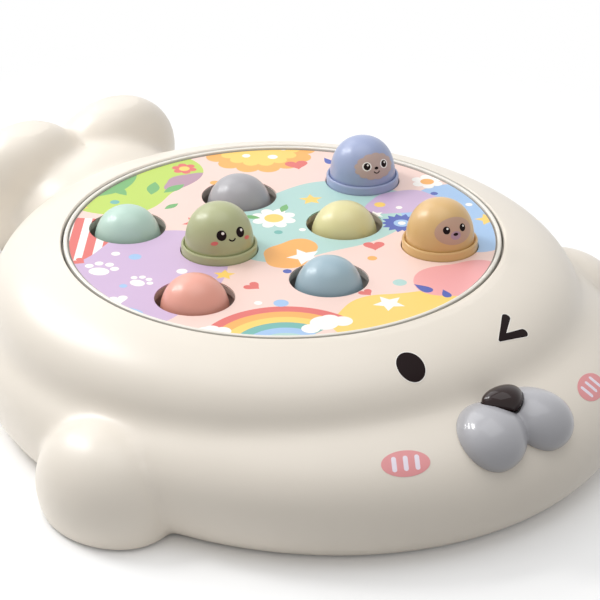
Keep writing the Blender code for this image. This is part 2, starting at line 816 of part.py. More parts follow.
def mole_cap(mole):
    """A hollow cap: rounded top, collar behind a groove, and a lip that stops it in its tube."""
    profile = [(0.0, CAP_BASE + DOME_H)]
    for share in CAP_DOME_SHARES:
        radius = share * DOME_R
        profile.append((radius, CAP_BASE + cap_height(radius, DOME_R, DOME_H)))
    profile += [
        (DOME_R, CAP_BASE),
        (DOME_R + GROOVE_WIDTH, COLLAR_TOP),
        (COLLAR_R - COLLAR_EDGE, COLLAR_TOP),
        (COLLAR_R, COLLAR_TOP - COLLAR_EDGE),
        (COLLAR_R, CAP_LIP_TOP),
        (LIP_R, CAP_LIP_TOP),
        (LIP_R, CAP_LIP_UNDER),
        (SKIRT_BORE_R, CAP_LIP_UNDER),
        (SKIRT_BORE_R, CAP_BASE - CAP_WALL),
    ]
    profile += [(CEILING_R, CEILING_Z), (0.0, CEILING_Z)]
    return turned(f"mole_cap_{mole}", profile, CAP_SIDES)


def mole_plunger(mole):
    profile = [
        (0.0, PLUNGER_UNDER),
        (PLUNGER_R, PLUNGER_UNDER),
        (PLUNGER_R, PLUNGER_TOP - PLUNGER_HEAD_T),
        (PLUNGER_HEAD_R, PLUNGER_TOP - PLUNGER_HEAD_T),
        (PLUNGER_HEAD_R, PLUNGER_TOP),
        (0.0, PLUNGER_TOP),
    ]
    return turned(f"mole_plunger_{mole}", profile, PLUNGER_SIDES)


def latch_coil(mole):
    """A wound bobbin round the plunger."""
    waist = COIL_R - COIL_WAIST
    profile = [
        (COIL_BORE_R, COIL_BOTTOM),
        (COIL_R, COIL_BOTTOM),
        (COIL_R, COIL_BOTTOM + COIL_FLANGE_T),
        (waist, COIL_BOTTOM + COIL_FLANGE_T),
        (waist, COIL_TOP - COIL_FLANGE_T),
        (COIL_R, COIL_TOP - COIL_FLANGE_T),
        (COIL_R, COIL_TOP),
        (COIL_BORE_R, COIL_TOP),
    ]
    return turned(f"latch_coil_{mole}", profile, COIL_SIDES, (*mole_point(mole), 0.0))


def mole_spring(mole, drop):
    """An open coil spring between the latch coil and the plunger's head."""
    low = SPRING_BOTTOM + SPRING_WIRE_R
    high = SPRING_TOP - drop - SPRING_WIRE_R
    steps = SPRING_TURNS * SPRING_STEPS
    rows = []
    for step in range(steps + 1):
        angle = math.tau * step / SPRING_STEPS
        z = low + (high - low) * step / steps
        row = []
        for side in range(SPRING_WIRE_SIDES):
            round_wire = math.tau * (side + 0.5) / SPRING_WIRE_SIDES
            radius = SPRING_R + SPRING_WIRE_R * math.cos(round_wire)
            height = z + SPRING_WIRE_R * math.sin(round_wire)
            row.append((radius * math.cos(angle), radius * math.sin(angle), height))
        rows.append(row)
    spring = loft(f"mole_spring_{mole}", rows)
    spring.location = (*mole_point(mole), 0.0)
    return spring


# Mechanism plate and circuit board

def mechanism_plate():
    plate = rod("mechanism_plate", PLATE_R, PLATE_UNDER, PLATE_TOP, DECK_SIDES)
    low, inside, above = PLATE_UNDER - SPACER_H, PLATE_UNDER + PLATE_T / 2, PLATE_TOP + OVERRUN
    spacers = [
        rod(f"spacer_{number}", SPACER_R, low, inside, COIL_SIDES, at)
        for number, at in enumerate(post_points())
    ]
    add(plate, gathered("spacers", spacers))
    holes = [
        rod(f"plunger_hole_{mole}", PLATE_HOLE_R, PLATE_UNDER - OVERRUN, above, COIL_SIDES, mole_point(mole))
        for mole in MOLE_PLACE_SHARES
    ]
    for number, at in enumerate(post_points()):
        holes.append(rod(f"plate_screw_{number}", PILOT_R, low - OVERRUN, above, SCREW_SIDES, at))
    return cut(plate, gathered("plate_holes", holes))


def circuit_board():
    """A round board with a push switch under each plunger."""
    board = rod("circuit_board", BOARD_R, BOARD_UNDER, BOARD_TOP, DECK_SIDES // 2)
    low, high = BOARD_UNDER - OVERRUN, BOARD_TOP + OVERRUN
    holes = [
        rod(f"board_hole_{number}", PILOT_R, low, high, SCREW_SIDES, at)
        for number, at in enumerate(post_points())
    ]
    cut(board, gathered("board_holes", holes))
    switches = [
        push_switch(f"switch_{mole}", BOARD_TOP, mole_point(mole))
        for mole in MOLE_PLACE_SHARES
    ]
    return add(board, gathered("switches", switches))


# Base

def bay_half():
    """Half width and half length of the battery bay."""
    width = CELL_COUNT * 2 * CELL_R + (CELL_COUNT + 1) * FIT
    length = CELL_LENGTH + CELL_NUB_H + 2 * FIT
    return (width / 2, length / 2)


def cell_height():
    return COVER_UNDER + BATTERY_COVER_T + FIT + CELL_R


def bay_box(name, margin, low, high, tab_margin=None):
    """A box round the battery bay, wider than it by a margin, with or without its tab."""
    half_x, half_y = bay_half()
    x, y = half_x + margin, half_y + margin
    made = block(name, (-x, BAY_CENTRE_Y - y, low), (x, BAY_CENTRE_Y + y, high))
    if tab_margin is not None:
        near = BAY_CENTRE_Y - half_y
        far = near - BAY_LEDGE - TAB_REACH - tab_margin
        wide = TAB_HALF + tab_margin
        add(made, block("tab", (-wide, far, low), (wide, near, high)))
    return made


def cup_point():
    return (0.0, BAY_CENTRE_Y - bay_half()[1] - BAY_LEDGE - TAB_REACH / 2)


def cup_top():
    return COVER_UNDER + BATTERY_COVER_T + CUP_DEPTH


def battery_screw_height():
    return COVER_UNDER + CUP_DEPTH - FIT - SCREW_HEAD_T


def base_cover():
    """The plate that closes the body, with battery bay, speaker seat, posts and recesses."""
    cover = body_form("base_cover", WALL + FIT, BODY_FLOOR - 2 * OVERRUN)
    for number, lobe in enumerate((FLIPPER_LEFT, mirrored(FLIPPER_LEFT))):
        add(cover, lobe_hollow(f"cover_lobe_{number}", lobe, WALL + FIT))
    far = TOY_REACH
    combine(cover, block("slab", (-far, -far, COVER_UNDER), (far, far, COVER_TOP)), "INTERSECT")
    inside = COVER_UNDER + COVER_T / 2
    roof = cell_height() + CELL_R + FIT
    tower_top = screw_tip(battery_screw_height()) + BAY_WALL
    add(cover, bay_box("bay", BAY_WALL, inside, roof + BAY_WALL))
    add(cover, rod("tower", CUP_R + FIT + BAY_WALL, inside, tower_top, CAP_SIDES, cup_point()))
    ring_r = SPEAKER_R + FIT
    ring_top = COVER_TOP + SPEAKER_RING_H
    add(cover, pipe("speaker_ring", ring_r, ring_r + BAY_WALL, inside, ring_top, SPEAKER_SIDES, SPEAKER_AT))
    nose_top = nose_board_top() - BOARD_T - FIT
    add(cover, rod("nose_post", NOSE_POST_R, inside, nose_top, COIL_SIDES, NOSE.centre[:2]))
    below = COVER_UNDER - OVERRUN
    rebate = COVER_UNDER + BATTERY_COVER_T + FIT
    cut(cover, bay_box("bay_room", 0.0, below, roof))
    cut(cover, bay_box("bay_rebate", BAY_LEDGE, below, rebate, FIT))
    cut(cover, rod("cup_room", CUP_R + FIT, below, cup_top() + FIT, CAP_SIDES, cup_point()))
    tip = screw_tip(battery_screw_height()) + FIT
    cut(cover, rod("cup_pilot", PILOT_R, below, tip, SCREW_SIDES, cup_point()))
    return cut(cover, gathered("recesses", base_recesses()))


def base_recesses():
    """Screw holes, foot recesses, grille slots and the power switch's slot."""
    below = COVER_UNDER - OVERRUN
    above = COVER_TOP + OVERRUN
    cutters = []
    for number, at in enumerate(boss_points()):
        profile = [
            (0.0, below),
            (SCREW_HEAD_R + FIT, below),
            (SCREW_HEAD_R + FIT, COVER_UNDER + SINK_DEPTH),
            (PILOT_R, COVER_UNDER + SINK_DEPTH),
            (PILOT_R, above),
            (0.0, above),
        ]
        cutters.append(turned(f"sink_{number}", profile, COIL_SIDES, (*at, 0.0)))
    for number, at in enumerate(foot_points()):
        cutters.append(rod(f"foot_seat_{number}", FOOT_R + FIT, below, FOOT_T + FIT, CAP_SIDES, at))
    grille_r = SPEAKER_R - GRILLE_MARGIN
    for number in range(GRILLE_COUNT):
        x = (number - (GRILLE_COUNT - 1) / 2) * GRILLE_PITCH
        if abs(x) >= grille_r:
            continue
        half = math.sqrt(grille_r ** 2 - x ** 2)
        low = (SPEAKER_AT[0] + x - GRILLE_SLOT_W / 2, SPEAKER_AT[1] - half, below)
        high = (SPEAKER_AT[0] + x + GRILLE_SLOT_W / 2, SPEAKER_AT[1] + half, above)
        cutters.append(block(f"grille_{number}", low, high))
    return cutters + [power_slot("power_slot", below, above)]


def power_slot(name, below, above):
    """A shallow pocket for the knob with a narrower slot through for its stem."""
    x, y = POWER_AT
    run = POWER_TRAVEL / 2 + SLIDE_GAP
    wide = KNOB_HALF + run
    pocket_top = COVER_UNDER + KNOB_LIFT + knob_face_t() + FIT
    tall = KNOB_HALF + SLIDE_GAP
    pocket = block(name, (x - wide, y - tall, below), (x + wide, y + tall, pocket_top))
    narrow = KNOB_STEM_HALF + run
    across = KNOB_STEM_HALF + SLIDE_GAP
    slot = block("slot", (x - narrow, y - across, below), (x + narrow, y + across, above))
    return add(pocket, slot)


def knob_face_t():
    return COVER_T / 2 - KNOB_LIFT


def power_switch_body():
    """The slide switch's case, with the slot that the knob's stem runs in."""
    x, y = POWER_AT
    half_x, half_y = POWER_BODY_HALF
    low, high = COVER_TOP + FIT, COVER_TOP + FIT + POWER_BODY_H
    case = block("power_switch_body", (x - half_x, y - half_y, low), (x + half_x, y + half_y, high))
    run = KNOB_STEM_HALF + POWER_TRAVEL / 2 + SLIDE_GAP
    across = KNOB_STEM_HALF + SLIDE_GAP
    near, far = (x - run, y - across, low - OVERRUN), (x + run, y + across, low + POWER_BODY_H / 2)
    return cut(case, block("case_slot", near, far))


def power_knob():
    x, y = POWER_AT[0] - POWER_TRAVEL / 2, POWER_AT[1]
    face = COVER_UNDER + KNOB_LIFT
    half = KNOB_HALF
    knob = block("power_knob", (x - half, y - half, face), (x + half, y + half, face + knob_face_t()))
    top = COVER_TOP + FIT + POWER_BODY_H / 2 - SLIDE_GAP
    stem = KNOB_STEM_HALF
    low = face + knob_face_t() / 2
    add(knob, block("knob_stem", (x - stem, y - stem, low), (x + stem, y + stem, top)))
    return set_origin(knob, (x, y, face))


def foot_points():
    points = []
    for x, y in (FRONT_FOOT, REAR_FOOT):
        points += [(-x, y), (x, y)]
    return points


def battery_cover():
    """A flat hatch with a cup for its screw."""
    lid = bay_box("battery_cover", BAY_LEDGE - FIT, COVER_UNDER, COVER_UNDER + BATTERY_COVER_T, 0.0)
    inside = COVER_UNDER + BATTERY_COVER_T / 2
    add(lid, rod("cup", CUP_R, inside, cup_top(), CAP_SIDES, cup_point()))
    below = COVER_UNDER - OVERRUN
    cut(lid, rod("cup_well", SCREW_HEAD_R + FIT, below, COVER_UNDER + CUP_DEPTH, COIL_SIDES, cup_point()))
    return cut(lid, rod("cup_hole", PILOT_R, below, cup_top() + OVERRUN, SCREW_SIDES, cup_point()))


def cell_places():
    """Across the bay, for each cell."""
    pitch = 2 * CELL_R + FIT
    return [(number - (CELL_COUNT - 1) / 2) * pitch for number in range(CELL_COUNT)]


def battery_cell(number, x):
    """A cell along Y. Every other one lies the other way round."""
    half = (CELL_LENGTH + CELL_NUB_H) / 2
    shoulder = half - CELL_NUB_H
    profile = [
        (0.0, -half),
        (CELL_R, -half),
        (CELL_R, shoulder),
        (CELL_NUB_R, shoulder),
        (CELL_NUB_R, half),
        (0.0, half),
    ]
    cell = turned(f"battery_{number + 1}", profile, CAP_SIDES)
    cell.location = (x, BAY_CENTRE_Y, cell_height())
    cell.rotation_euler = (math.radians(90 if number % 2 else -90), 0.0, 0.0)
    return cell


def speaker():
    """A round speaker that faces down through the grille."""
    low = COVER_TOP + FIT
    high = low + SPEAKER_H
    flange = low + SPEAKER_FLANGE_T
    profile = [
        (0.0, flange),
        (SPEAKER_R - SPEAKER_FLANGE_T, low),
        (SPEAKER_R, low),
        (SPEAKER_R, flange),
        (SPEAKER_MAGNET_R, (flange + high) / 2),
        (SPEAKER_MAGNET_R, high),
        (0.0, high),
    ]
    return turned("speaker", profile, SPEAKER_SIDES, (*SPEAKER_AT, 0.0))


def screw(name, at, head_under, length=SCREW_LENGTH):
    """A small pan-head screw that points up."""
    neck = head_under + SCREW_HEAD_T
    profile = [
        (0.0, head_under),
        (SCREW_HEAD_R, head_under),
        (SCREW_HEAD_R, neck),
        (SCREW_R, neck),
        (SCREW_R, head_under + length - SCREW_R),
        (0.0, head_under + length),
    ]
    return turned(name, profile, SCREW_SIDES, (*at, 0.0))


# Assembly

def empty(name, at, parent=None):
    made = bpy.data.objects.new(name, None)
    made.location = at
    made.parent = parent
    bpy.context.scene.collection.objects.link(made)
    return made


def middle_y(pieces):
    """The middle of the whole toy along Y."""
    bpy.context.view_layer.update()
    values = [(piece.matrix_world @ Vector(corner)).y for piece in pieces for corner in piece.bound_box]
    return (min(values) + max(values)) / 2


def build():
    clear_scene()
    cream = finish("cream_plastic", (0.82, 0.76, 0.67), 0.35)
    white = finish("white_plastic", (0.85, 0.83, 0.78), 0.4)
    printed = finish("printed_sheet", (0.86, 0.66, 0.68), 0.4)
    lilac_grey = finish("glossy_lilac_grey", (0.50, 0.50, 0.56), 0.15)
    dark_brown = finish("glossy_dark_brown", (0.035, 0.022, 0.022), 0.12)
    steel = finish("steel", (0.62, 0.62, 0.62), 0.3, 1.0)
    copper = finish("copper_winding", (0.72, 0.36, 0.18), 0.35, 1.0)
    green = finish("circuit_green", (0.05, 0.24, 0.10), 0.5)
    black = finish("black_plastic", (0.03, 0.03, 0.03), 0.45)
    grey = finish("grey_plastic", (0.45, 0.45, 0.45), 0.5)
    rubber = finish("grey_rubber", (0.20, 0.20, 0.20), 0.85)
    jacket = finish("battery_jacket", (0.12, 0.20, 0.42), 0.35)

    toy = empty("toy", (0.0, 0.0, 0.0))
    pieces = [
        dress(body_shell(), cream, "body_shell"),
        dress(base_cover(), cream, "base_cover"),
        dress(battery_cover(), cream, "battery_cover"),
        dress(muzzle(), lilac_grey, "muzzle"),
        dress(nose_button(), dark_brown, "nose_button"),
        dress(nose_switch(), green, "nose_switch"),
        dress(game_deck(), white, "game_deck"),
        dress(deck_print(), printed, "deck_print"),
        dress(mechanism_plate(), grey, "mechanism_plate"),
        dress(circuit_board(), green, "circuit_board"),
        dress(speaker(), black, "speaker"),
        dress(power_switch_body(), steel, "power_switch_body"),
        dress(power_knob(), black, "power_knob"),
        dress(screw("cup_screw", cup_point(), battery_screw_height()), steel, "battery_cover_screw"),
    ]
    for number, at in enumerate(boss_points()):
        pieces.append(dress(screw("screw", at, base_screw_height()), steel, f"base_screw_{number + 1}"))
    for number, at in enumerate(post_points()):
        made = screw("screw", at, deck_screw_height(), deck_screw_length())
        pieces.append(dress(made, steel, f"deck_screw_{number + 1}"))
    for number, at in enumerate(foot_points()):
        made = rod("foot", FOOT_R, 0.0, FOOT_T, CAP_SIDES, at)
        pieces.append(dress(made, rubber, f"rubber_foot_{number + 1}"))
    for number, x in enumerate(cell_places()):
        pieces.append(dress(battery_cell(number, x), jacket, f"battery_{number + 1}"))
    for mole in MOLE_PLACE_SHARES:
        drop = 0.0 if mole in RAISED_MOLES else TRAVEL
        pieces.append(dress(latch_coil(mole), copper, f"latch_coil_{mole}"))
        pieces.append(dress(mole_spring(mole, drop), steel, f"mole_spring_{mole}"))
    for piece in pieces:
        piece.parent = toy
    for mole in MOLE_PLACE_SHARES:
        drop = 0.0 if mole in RAISED_MOLES else TRAVEL
        slide = empty(f"mole_slide_{mole}", (*mole_point(mole), -drop), toy)
        colour = finish(f"{mole}_plastic", MOLE_COLOURS[mole], 0.35)
        for piece in (
            dress(mole_cap(mole), colour, f"mole_cap_{mole}"),
            dress(mole_plunger(mole), steel, f"mole_plunger_{mole}"),
        ):
            piece.parent = slide
            pieces.append(piece)
    toy.location.y = -middle_y(pieces)


build()
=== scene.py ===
import math

import bpy
import numpy as np
from mathutils import Euler, Matrix, Vector
from mathutils.geometry import delaunay_2d_cdt


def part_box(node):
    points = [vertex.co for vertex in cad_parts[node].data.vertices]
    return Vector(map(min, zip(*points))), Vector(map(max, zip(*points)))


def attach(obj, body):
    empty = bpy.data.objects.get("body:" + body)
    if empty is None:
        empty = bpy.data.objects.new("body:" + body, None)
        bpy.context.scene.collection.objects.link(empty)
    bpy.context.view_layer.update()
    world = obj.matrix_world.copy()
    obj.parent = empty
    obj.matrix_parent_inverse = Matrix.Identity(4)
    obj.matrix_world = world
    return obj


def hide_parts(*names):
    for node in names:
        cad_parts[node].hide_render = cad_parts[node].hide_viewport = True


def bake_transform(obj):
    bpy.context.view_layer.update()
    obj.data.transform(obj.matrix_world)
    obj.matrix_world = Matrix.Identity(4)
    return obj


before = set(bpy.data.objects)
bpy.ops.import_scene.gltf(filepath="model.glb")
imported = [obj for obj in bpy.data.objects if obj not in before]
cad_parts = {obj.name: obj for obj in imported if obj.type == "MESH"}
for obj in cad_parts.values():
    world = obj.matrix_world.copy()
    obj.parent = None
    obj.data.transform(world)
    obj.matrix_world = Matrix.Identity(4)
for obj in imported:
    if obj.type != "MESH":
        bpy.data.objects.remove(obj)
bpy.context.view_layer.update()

# Places and sizes that follow from the frame, in metres
print_low, print_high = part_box("deck_print")
_, deck_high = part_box("game_deck")
shell_low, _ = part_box("body_shell")
MIDDLE_Y = (print_low[1] + print_high[1]) / 2     # the deck's axis along Y
DECK_TOP = deck_high[2]
PRINT_TOP = print_high[2]
BODY_FLOOR = shell_low[2]

# The body, measured from the deck's axis
WALL = 0.0025
LOBE_WALL = 0.0031      # in the flippers and the tail
GAP = 0.0003
DOME = dict(half_width=0.1206, half_length=0.1263, half_height=0.0448, y=-0.0019, z=0.0265, power=3.64)
SKIRT = dict(half_width=0.1297, half_length=0.1455, half_height=0.0396, y=-0.0116, z=0.0193, power=2.4)
FLIPPER = dict(centre=(0.1195, -0.0453, 0.0120), radii=(0.0250, 0.0321, 0.0270), lean=0.0, yaw=0.0)
TAIL = dict(centre=(0.0245, 0.1637, 0.0355), radii=(0.0326, 0.0232, 0.0350), lean=0.43, yaw=0.0)
TAIL_ROOT = dict(centre=(0.0, 0.1330, 0.0300), radii=(0.0420, 0.0280, 0.0270), lean=0.0, yaw=0.0)
PAD = dict(
    centre=(0.0108, -0.1413, 0.0404), radii=(0.0136, 0.0161, 0.0106), lean=0.22, yaw=0.38, thinning=0.18)
NOSE = dict(centre=(0.0, -0.1366, 0.0499), radii=(0.0084, 0.0070, 0.0048), lean=0.0, yaw=0.0, taper=0.30)
NOSE_SEAT = dict(NOSE, centre=(0.0, -0.1388, 0.0515), radii=(0.0068, 0.0070, 0.0048))
NOSE_TRAVEL = 0.0015
COVER_ROOM = 0.0080     # the base cover lies below this height

# The deck and its moles
DECK_R = 0.0900
RIM_INNER_R = 0.0880
OPENING_R = 0.0905
LEDGE_R = 0.0842
LEDGE_TOP = 0.0621
LEDGE_UNDER = 0.0596
DECK_UNDER = 0.0624
DECK_FACE = 0.0649
TUBE_UNDER = 0.0459
TUBE_BORE_R = 0.0173
TUBE_R = 0.0188
HOLE_R = 0.0159
TRAVEL = 0.0110
SPRING_R = 0.0042
SPRING_WIRE_R = 0.00045
SPRING_TURNS = 6
SPRING_STEPS = 24       # in each turn
DECK_TURN = math.radians(-12.4)
# Each mole's place on the unturned deck, as shares of the rim's inner radius
MOLE_SHARES = {
    "teal": (-0.618, 0.397), "grey": (0.0, 0.492), "lavender": (0.618, 0.397),
    "olive": (-0.322, 0.0), "yellow": (0.322, 0.0),
    "pink": (-0.618, -0.397), "blue": (0.0, -0.492), "orange": (0.618, -0.397),
}
RAISED = ("lavender", "olive", "orange")

# Cutters and skins
PAST = 0.002            # how far a cutter reaches past what it cuts
RIM_SIDES = 160
HOLE_SIDES = 96
SKIN_GRAIN = 0.0018     # the size of the squares in an even skin
ROOM_GRAIN = 0.0045
FACE_GRAIN = 0.0025
PAD_GRAIN = 0.00045

# Stage, light and camera, with the floor's distances from the origin
FLOOR_DARK = (0.30, 0.30, 0.30, 1.0)
FLOOR_PALE = (0.96, 0.96, 0.96, 1.0)
PALE_UP_TO = 0.15
DARK_FROM = 0.22
SHADOW_UP_TO = 0.12
WHITE_FROM = 0.36
SKY_SHARE = 0.55        # the strength of the sky's light on the toy; the sky itself looks white
TOY_SPOT = (0.0, 0.0, 0.04)
MUZZLE_SPOT = (-0.02, -0.155, 0.045)
CAMERA_AT = (-0.56449, -0.73435 + MIDDLE_Y, 0.51415)
CAMERA_TURN = (62.7034, -0.1161, -37.9372)
LENS_MM = 150.345
SENSOR_MM = 36.0


# Handling pieces in the workshop

def put_down():
    bpy.ops.object.select_all(action="DESELECT")


def take(*pieces):
    put_down()
    for piece in pieces:
        piece.select_set(True)
    bpy.context.view_layer.objects.active = pieces[0]


def settle(piece):
    """Puts the piece's place, turn and size into its mesh."""
    take(piece)
    bpy.ops.object.transform_apply(location=True, rotation=True, scale=True)
    return piece


def face_outwards():
    """In edit mode: turns every face of the piece outwards."""
    bpy.ops.mesh.select_all(action="SELECT")
    bpy.ops.mesh.normals_make_consistent(inside=False)


def turned(name, rings, sides, at=(0.0, 0.0)):
    """A turned form: a disc drawn upwards, widened and narrowed ring by ring. It closes both ends."""
    put_down()
    radius, height = rings[0]
    bpy.ops.mesh.primitive_circle_add(vertices=sides, radius=radius, location=(at[0], at[1], height))
    piece = settle(bpy.context.object)
    piece.name = piece.data.name = name
    bpy.ops.object.mode_set(mode="EDIT")
    bpy.ops.mesh.select_all(action="SELECT")
    bpy.ops.mesh.edge_face_add()
    for next_radius, next_height in rings[1:]:
        bpy.ops.mesh.extrude_region_move(TRANSFORM_OT_translate={"value": (0.0, 0.0, next_height - height)})
        share = next_radius / radius
        if share != 1.0:
            bpy.ops.transform.resize(value=(share, share, 1.0), center_override=(at[0], at[1], next_height))
        radius, height = next_radius, next_height
    face_outwards()
    bpy.ops.object.mode_set(mode="OBJECT")
    return piece


def lobe(name, form, inset, side, segments, rings):
    """A rounded lobe on the body, where its form says thinner behind or narrower in front."""
    put_down()
    x, y, z = form["centre"]
    bpy.ops.mesh.primitive_uv_sphere_add(segments=segments, ring_count=rings, radius=1.0)
    piece = bpy.context.object
    piece.name = piece.data.name = name
    for vertex in piece.data.vertices:
        behind = vertex.co.y
        vertex.co.z *= 1.0 - form.get("thinning", 0.0) * behind
        vertex.co.x *= 1.0 + form.get("taper", 0.0) * behind
    piece.scale = [radius - inset for radius in form["radii"]]
    piece.rotation_euler = (form["lean"], 0.0, side * form["yaw"])
    piece.location = (side * x, y, z)
    return settle(piece)


def joined(name, pieces):
    take(*pieces)
    bpy.ops.object.join()
    piece = bpy.context.object
    piece.name = piece.data.name = name
    return piece


def carve(piece, tool, operation="DIFFERENCE"):
    """Cuts a tool out of a piece, or adds it, and throws the tool away."""
    take(piece)
    step = piece.modifiers.new("carve", "BOOLEAN")
    step.object = tool
    step.operation = operation
    step.solver = "EXACT"
    bpy.ops.object.modifier_apply(modifier=step.name)
    bpy.data.objects.remove(tool, do_unlink=True)


def cast(piece, grain):
    """One even skin over everything in the piece."""
    take(piece)
    step = piece.modifiers.new("cast", "REMESH")
    step.mode = "VOXEL"
    step.voxel_size = grain
    step.use_smooth_shade = True
    bpy.ops.object.modifier_apply(modifier=step.name)


def soften(piece, rounds, weight_of=None):
    """Rubs the skin down, everywhere or where a weight says."""
    take(piece)
    step = piece.modifiers.new("soften", "SMOOTH")
    step.factor = 0.5
    step.iterations = rounds
    if weight_of:
        group = piece.vertex_groups.new(name="soften")
        for vertex in piece.data.vertices:
            weight = weight_of(vertex.co)
            if weight > 0.0:
                group.add([vertex.index], min(weight, 1.0), "REPLACE")
        step.vertex_group = group.name
    bpy.ops.object.modifier_apply(modifier=step.name)
    piece.vertex_groups.clear()


def smooth_faces(piece, angle):
    """Rounds the look of every edge that turns less than an angle."""
    take(piece)
    bpy.ops.object.shade_smooth_by_angle(angle=math.radians(angle))


def to_toy(piece):
    """From the deck's axis to the toy's own place."""
    piece.location = (0.0, MIDDLE_Y, 0.0)
    settle(piece)


def deck_place(share_x, share_y):
    """Where a mole stands, from the deck's axis."""
    cosine, sine = math.cos(DECK_TURN), math.sin(DECK_TURN)
    x, y = share_x * RIM_INNER_R, share_y * RIM_INNER_R
    return (cosine * x - sine * y, sine * x + cosine * y)


# Finishes

def plastic(
        name, colour, rough=0.38, grain=0.02, grain_size=900.0, cloud=0.03,
        gloss=0.5, coat=0.0, coat_rough=0.1):
    """Moulded plastic: faint clouding in its colour, uneven polish and a very fine grain."""
    made = bpy.data.materials.new(name)
    made.use_nodes = True
    nodes, links = made.node_tree.nodes, made.node_tree.links
    shader = nodes["Principled BSDF"]
    shader.inputs["Specular IOR Level"].default_value = gloss
    shader.inputs["Coat Weight"].default_value = coat
    shader.inputs["Coat Roughness"].default_value = coat_rough
    place = nodes.new("ShaderNodeTexCoord")
    clouds = nodes.new("ShaderNodeTexNoise")
    clouds.inputs["Scale"].default_value = 26.0
    clouds.inputs["Detail"].default_value = 3.0
    shades = nodes.new("ShaderNodeValToRGB")
    low = [channel * (1.0 - cloud) for channel in colour]
    high = [min(channel * (1.0 + cloud), 1.0) for channel in colour]
    shades.color_ramp.elements[0].position = 0.3
    shades.color_ramp.elements[0].color = (*low, 1.0)
    shades.color_ramp.elements[1].position = 0.7
    shades.color_ramp.elements[1].color = (*high, 1.0)
    polish = nodes.new("ShaderNodeTexNoise")
    polish.inputs["Scale"].default_value = 75.0
    polish.inputs["Detail"].default_value = 4.0
    polish_range = nodes.new("ShaderNodeMapRange")
    polish_range.inputs["To Min"].default_value = rough - 0.04
    polish_range.inputs["To Max"].default_value = rough + 0.04
    texture = nodes.new("ShaderNodeTexNoise")
    texture.inputs["Scale"].default_value = grain_size
    texture.inputs["Detail"].default_value = 2.0
    bump = nodes.new("ShaderNodeBump")
    bump.inputs["Strength"].default_value = grain
    bump.inputs["Distance"].default_value = 0.0004
    for noise in (clouds, polish, texture):
        links.new(place.outputs["Object"], noise.inputs["Vector"])
    links.new(clouds.outputs["Fac"], shades.inputs["Fac"])
    links.new(shades.outputs["Color"], shader.inputs["Base Color"])
    links.new(polish.outputs["Fac"], polish_range.inputs["Value"])
    links.new(polish_range.outputs["Result"], shader.inputs["Roughness"])
    links.new(texture.outputs["Fac"], bump.inputs["Height"])
    links.new(bump.outputs["Normal"], shader.inputs["Normal"])
    return made


def metal(name, colour, rough, grain):
    """Bare metal with a drawn or turned surface."""
    made = plastic(name, colour, rough, grain, 1400.0, 0.06)
    made.node_tree.nodes["Principled BSDF"].inputs["Metallic"].default_value = 1.0
    return made


def dress(piece, *finishes):
    piece.data.materials.clear()
    for finish in finishes:
        piece.data.materials.append(finish)


def slot_of(piece, finish):
    """The number under which a piece holds a finish."""
    return piece.data.materials.find(finish.name)


def refinish(node, finish):
    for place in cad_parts[node].material_slots:
        place.material = finish


def shade(red, green, blue):
    """A colour as a paint chart gives it, 0 to 255, as the light that it throws back."""
    parts = [channel / 255 for channel in (red, green, blue)]
    return tuple(part / 12.92 if part <= 0.04045 else ((part + 0.055) / 1.055) ** 2.4 for part in parts)


def ink(name, colour, gloss=0.4, coat=0.15):
    """Glossy printing ink on film."""
    return plastic(name, colour, 0.34, 0.008, 1600.0, 0.02, gloss, coat, 0.2)


cream = plastic(
    "cream_shell_plastic", (0.778, 0.714, 0.625), rough=0.36, grain=0.03, cloud=0.012,
    coat=0.15, coat_rough=0.3)
deck_white = plastic("deck_ivory_plastic", (0.80, 0.77, 0.70), rough=0.35, cloud=0.012)
# Painted shade: a darker finish on the walls of the holes, standing in for the shadow deep in them
hole_painted_shade = plastic("deck_hole_painted_shade", (0.42, 0.37, 0.33), rough=0.5, cloud=0.03)
# Painted shade: a darker finish on the walls of the narrow gap round the deck, standing in for the shadow in
# it
gap_painted_shade = plastic("rim_gap_painted_shade", (0.46, 0.435, 0.39), rough=0.6, cloud=0.05)
pad_lilac = plastic("muzzle_lilac_gloss", (0.420, 0.418, 0.443), 0.30, 0.004, 700.0, 0.015, 0.30, 0.55, 0.03)
nose_brown = plastic("nose_brown_gloss", (0.018, 0.0060, 0.0055), 0.30, 0.004, 700.0, 0.08, 0.05, 0.55, 0.03)
INKS = {
    "ground": ink("ink_pale_pink", shade(236, 206, 196)),
    "lilac": ink("ink_lilac", shade(200, 174, 206)),
    "mauve": ink("ink_mauve", shade(178, 142, 160)),
    "mint": ink("ink_mint", shade(172, 206, 200)),
    "teal": ink("ink_teal", shade(112, 176, 168)),
    "green": ink("ink_meadow_green", shade(184, 208, 92)),
    "leaf": ink("ink_leaf_green", shade(112, 172, 106)),
    "orange": ink("ink_orange", shade(240, 172, 90)),
    "yellow": ink("ink_yellow", shade(243, 204, 106)),
    "coral": ink("ink_coral", shade(218, 108, 102)),
    "pink": ink("ink_rose", shade(234, 164, 164)),
    "sky": ink("ink_sky_blue", shade(158, 190, 226)),
    "navy": ink("ink_royal_blue", shade(74, 92, 172)),
    "white": ink("ink_white", shade(245, 240, 234)),
    "brown": ink("ink_dark_brown", shade(30, 18, 19), 0.07, 0.0),
    "fawn": ink("ink_fawn", shade(188, 164, 156)),
    "tan": ink("ink_tan", shade(196, 158, 136)),
    # Painted shade: the thin taupe ring at the film's edge stands in for the shadow of the gap under the rim
    "line": ink("ink_taupe_painted_shade", shade(132, 122, 112)),
    "cheek": ink("ink_cheek_pink", shade(228, 150, 152)),
    "stripe": ink("ink_pale_lilac", shade(238, 228, 240)),
}


# Printed outlines, in millimetres on a flat sheet

def turned_points(points, x, y, turn):
    cosine, sine = math.cos(turn), math.sin(turn)
    return [(x + cosine * px - sine * py, y + sine * px + cosine * py) for px, py in points]


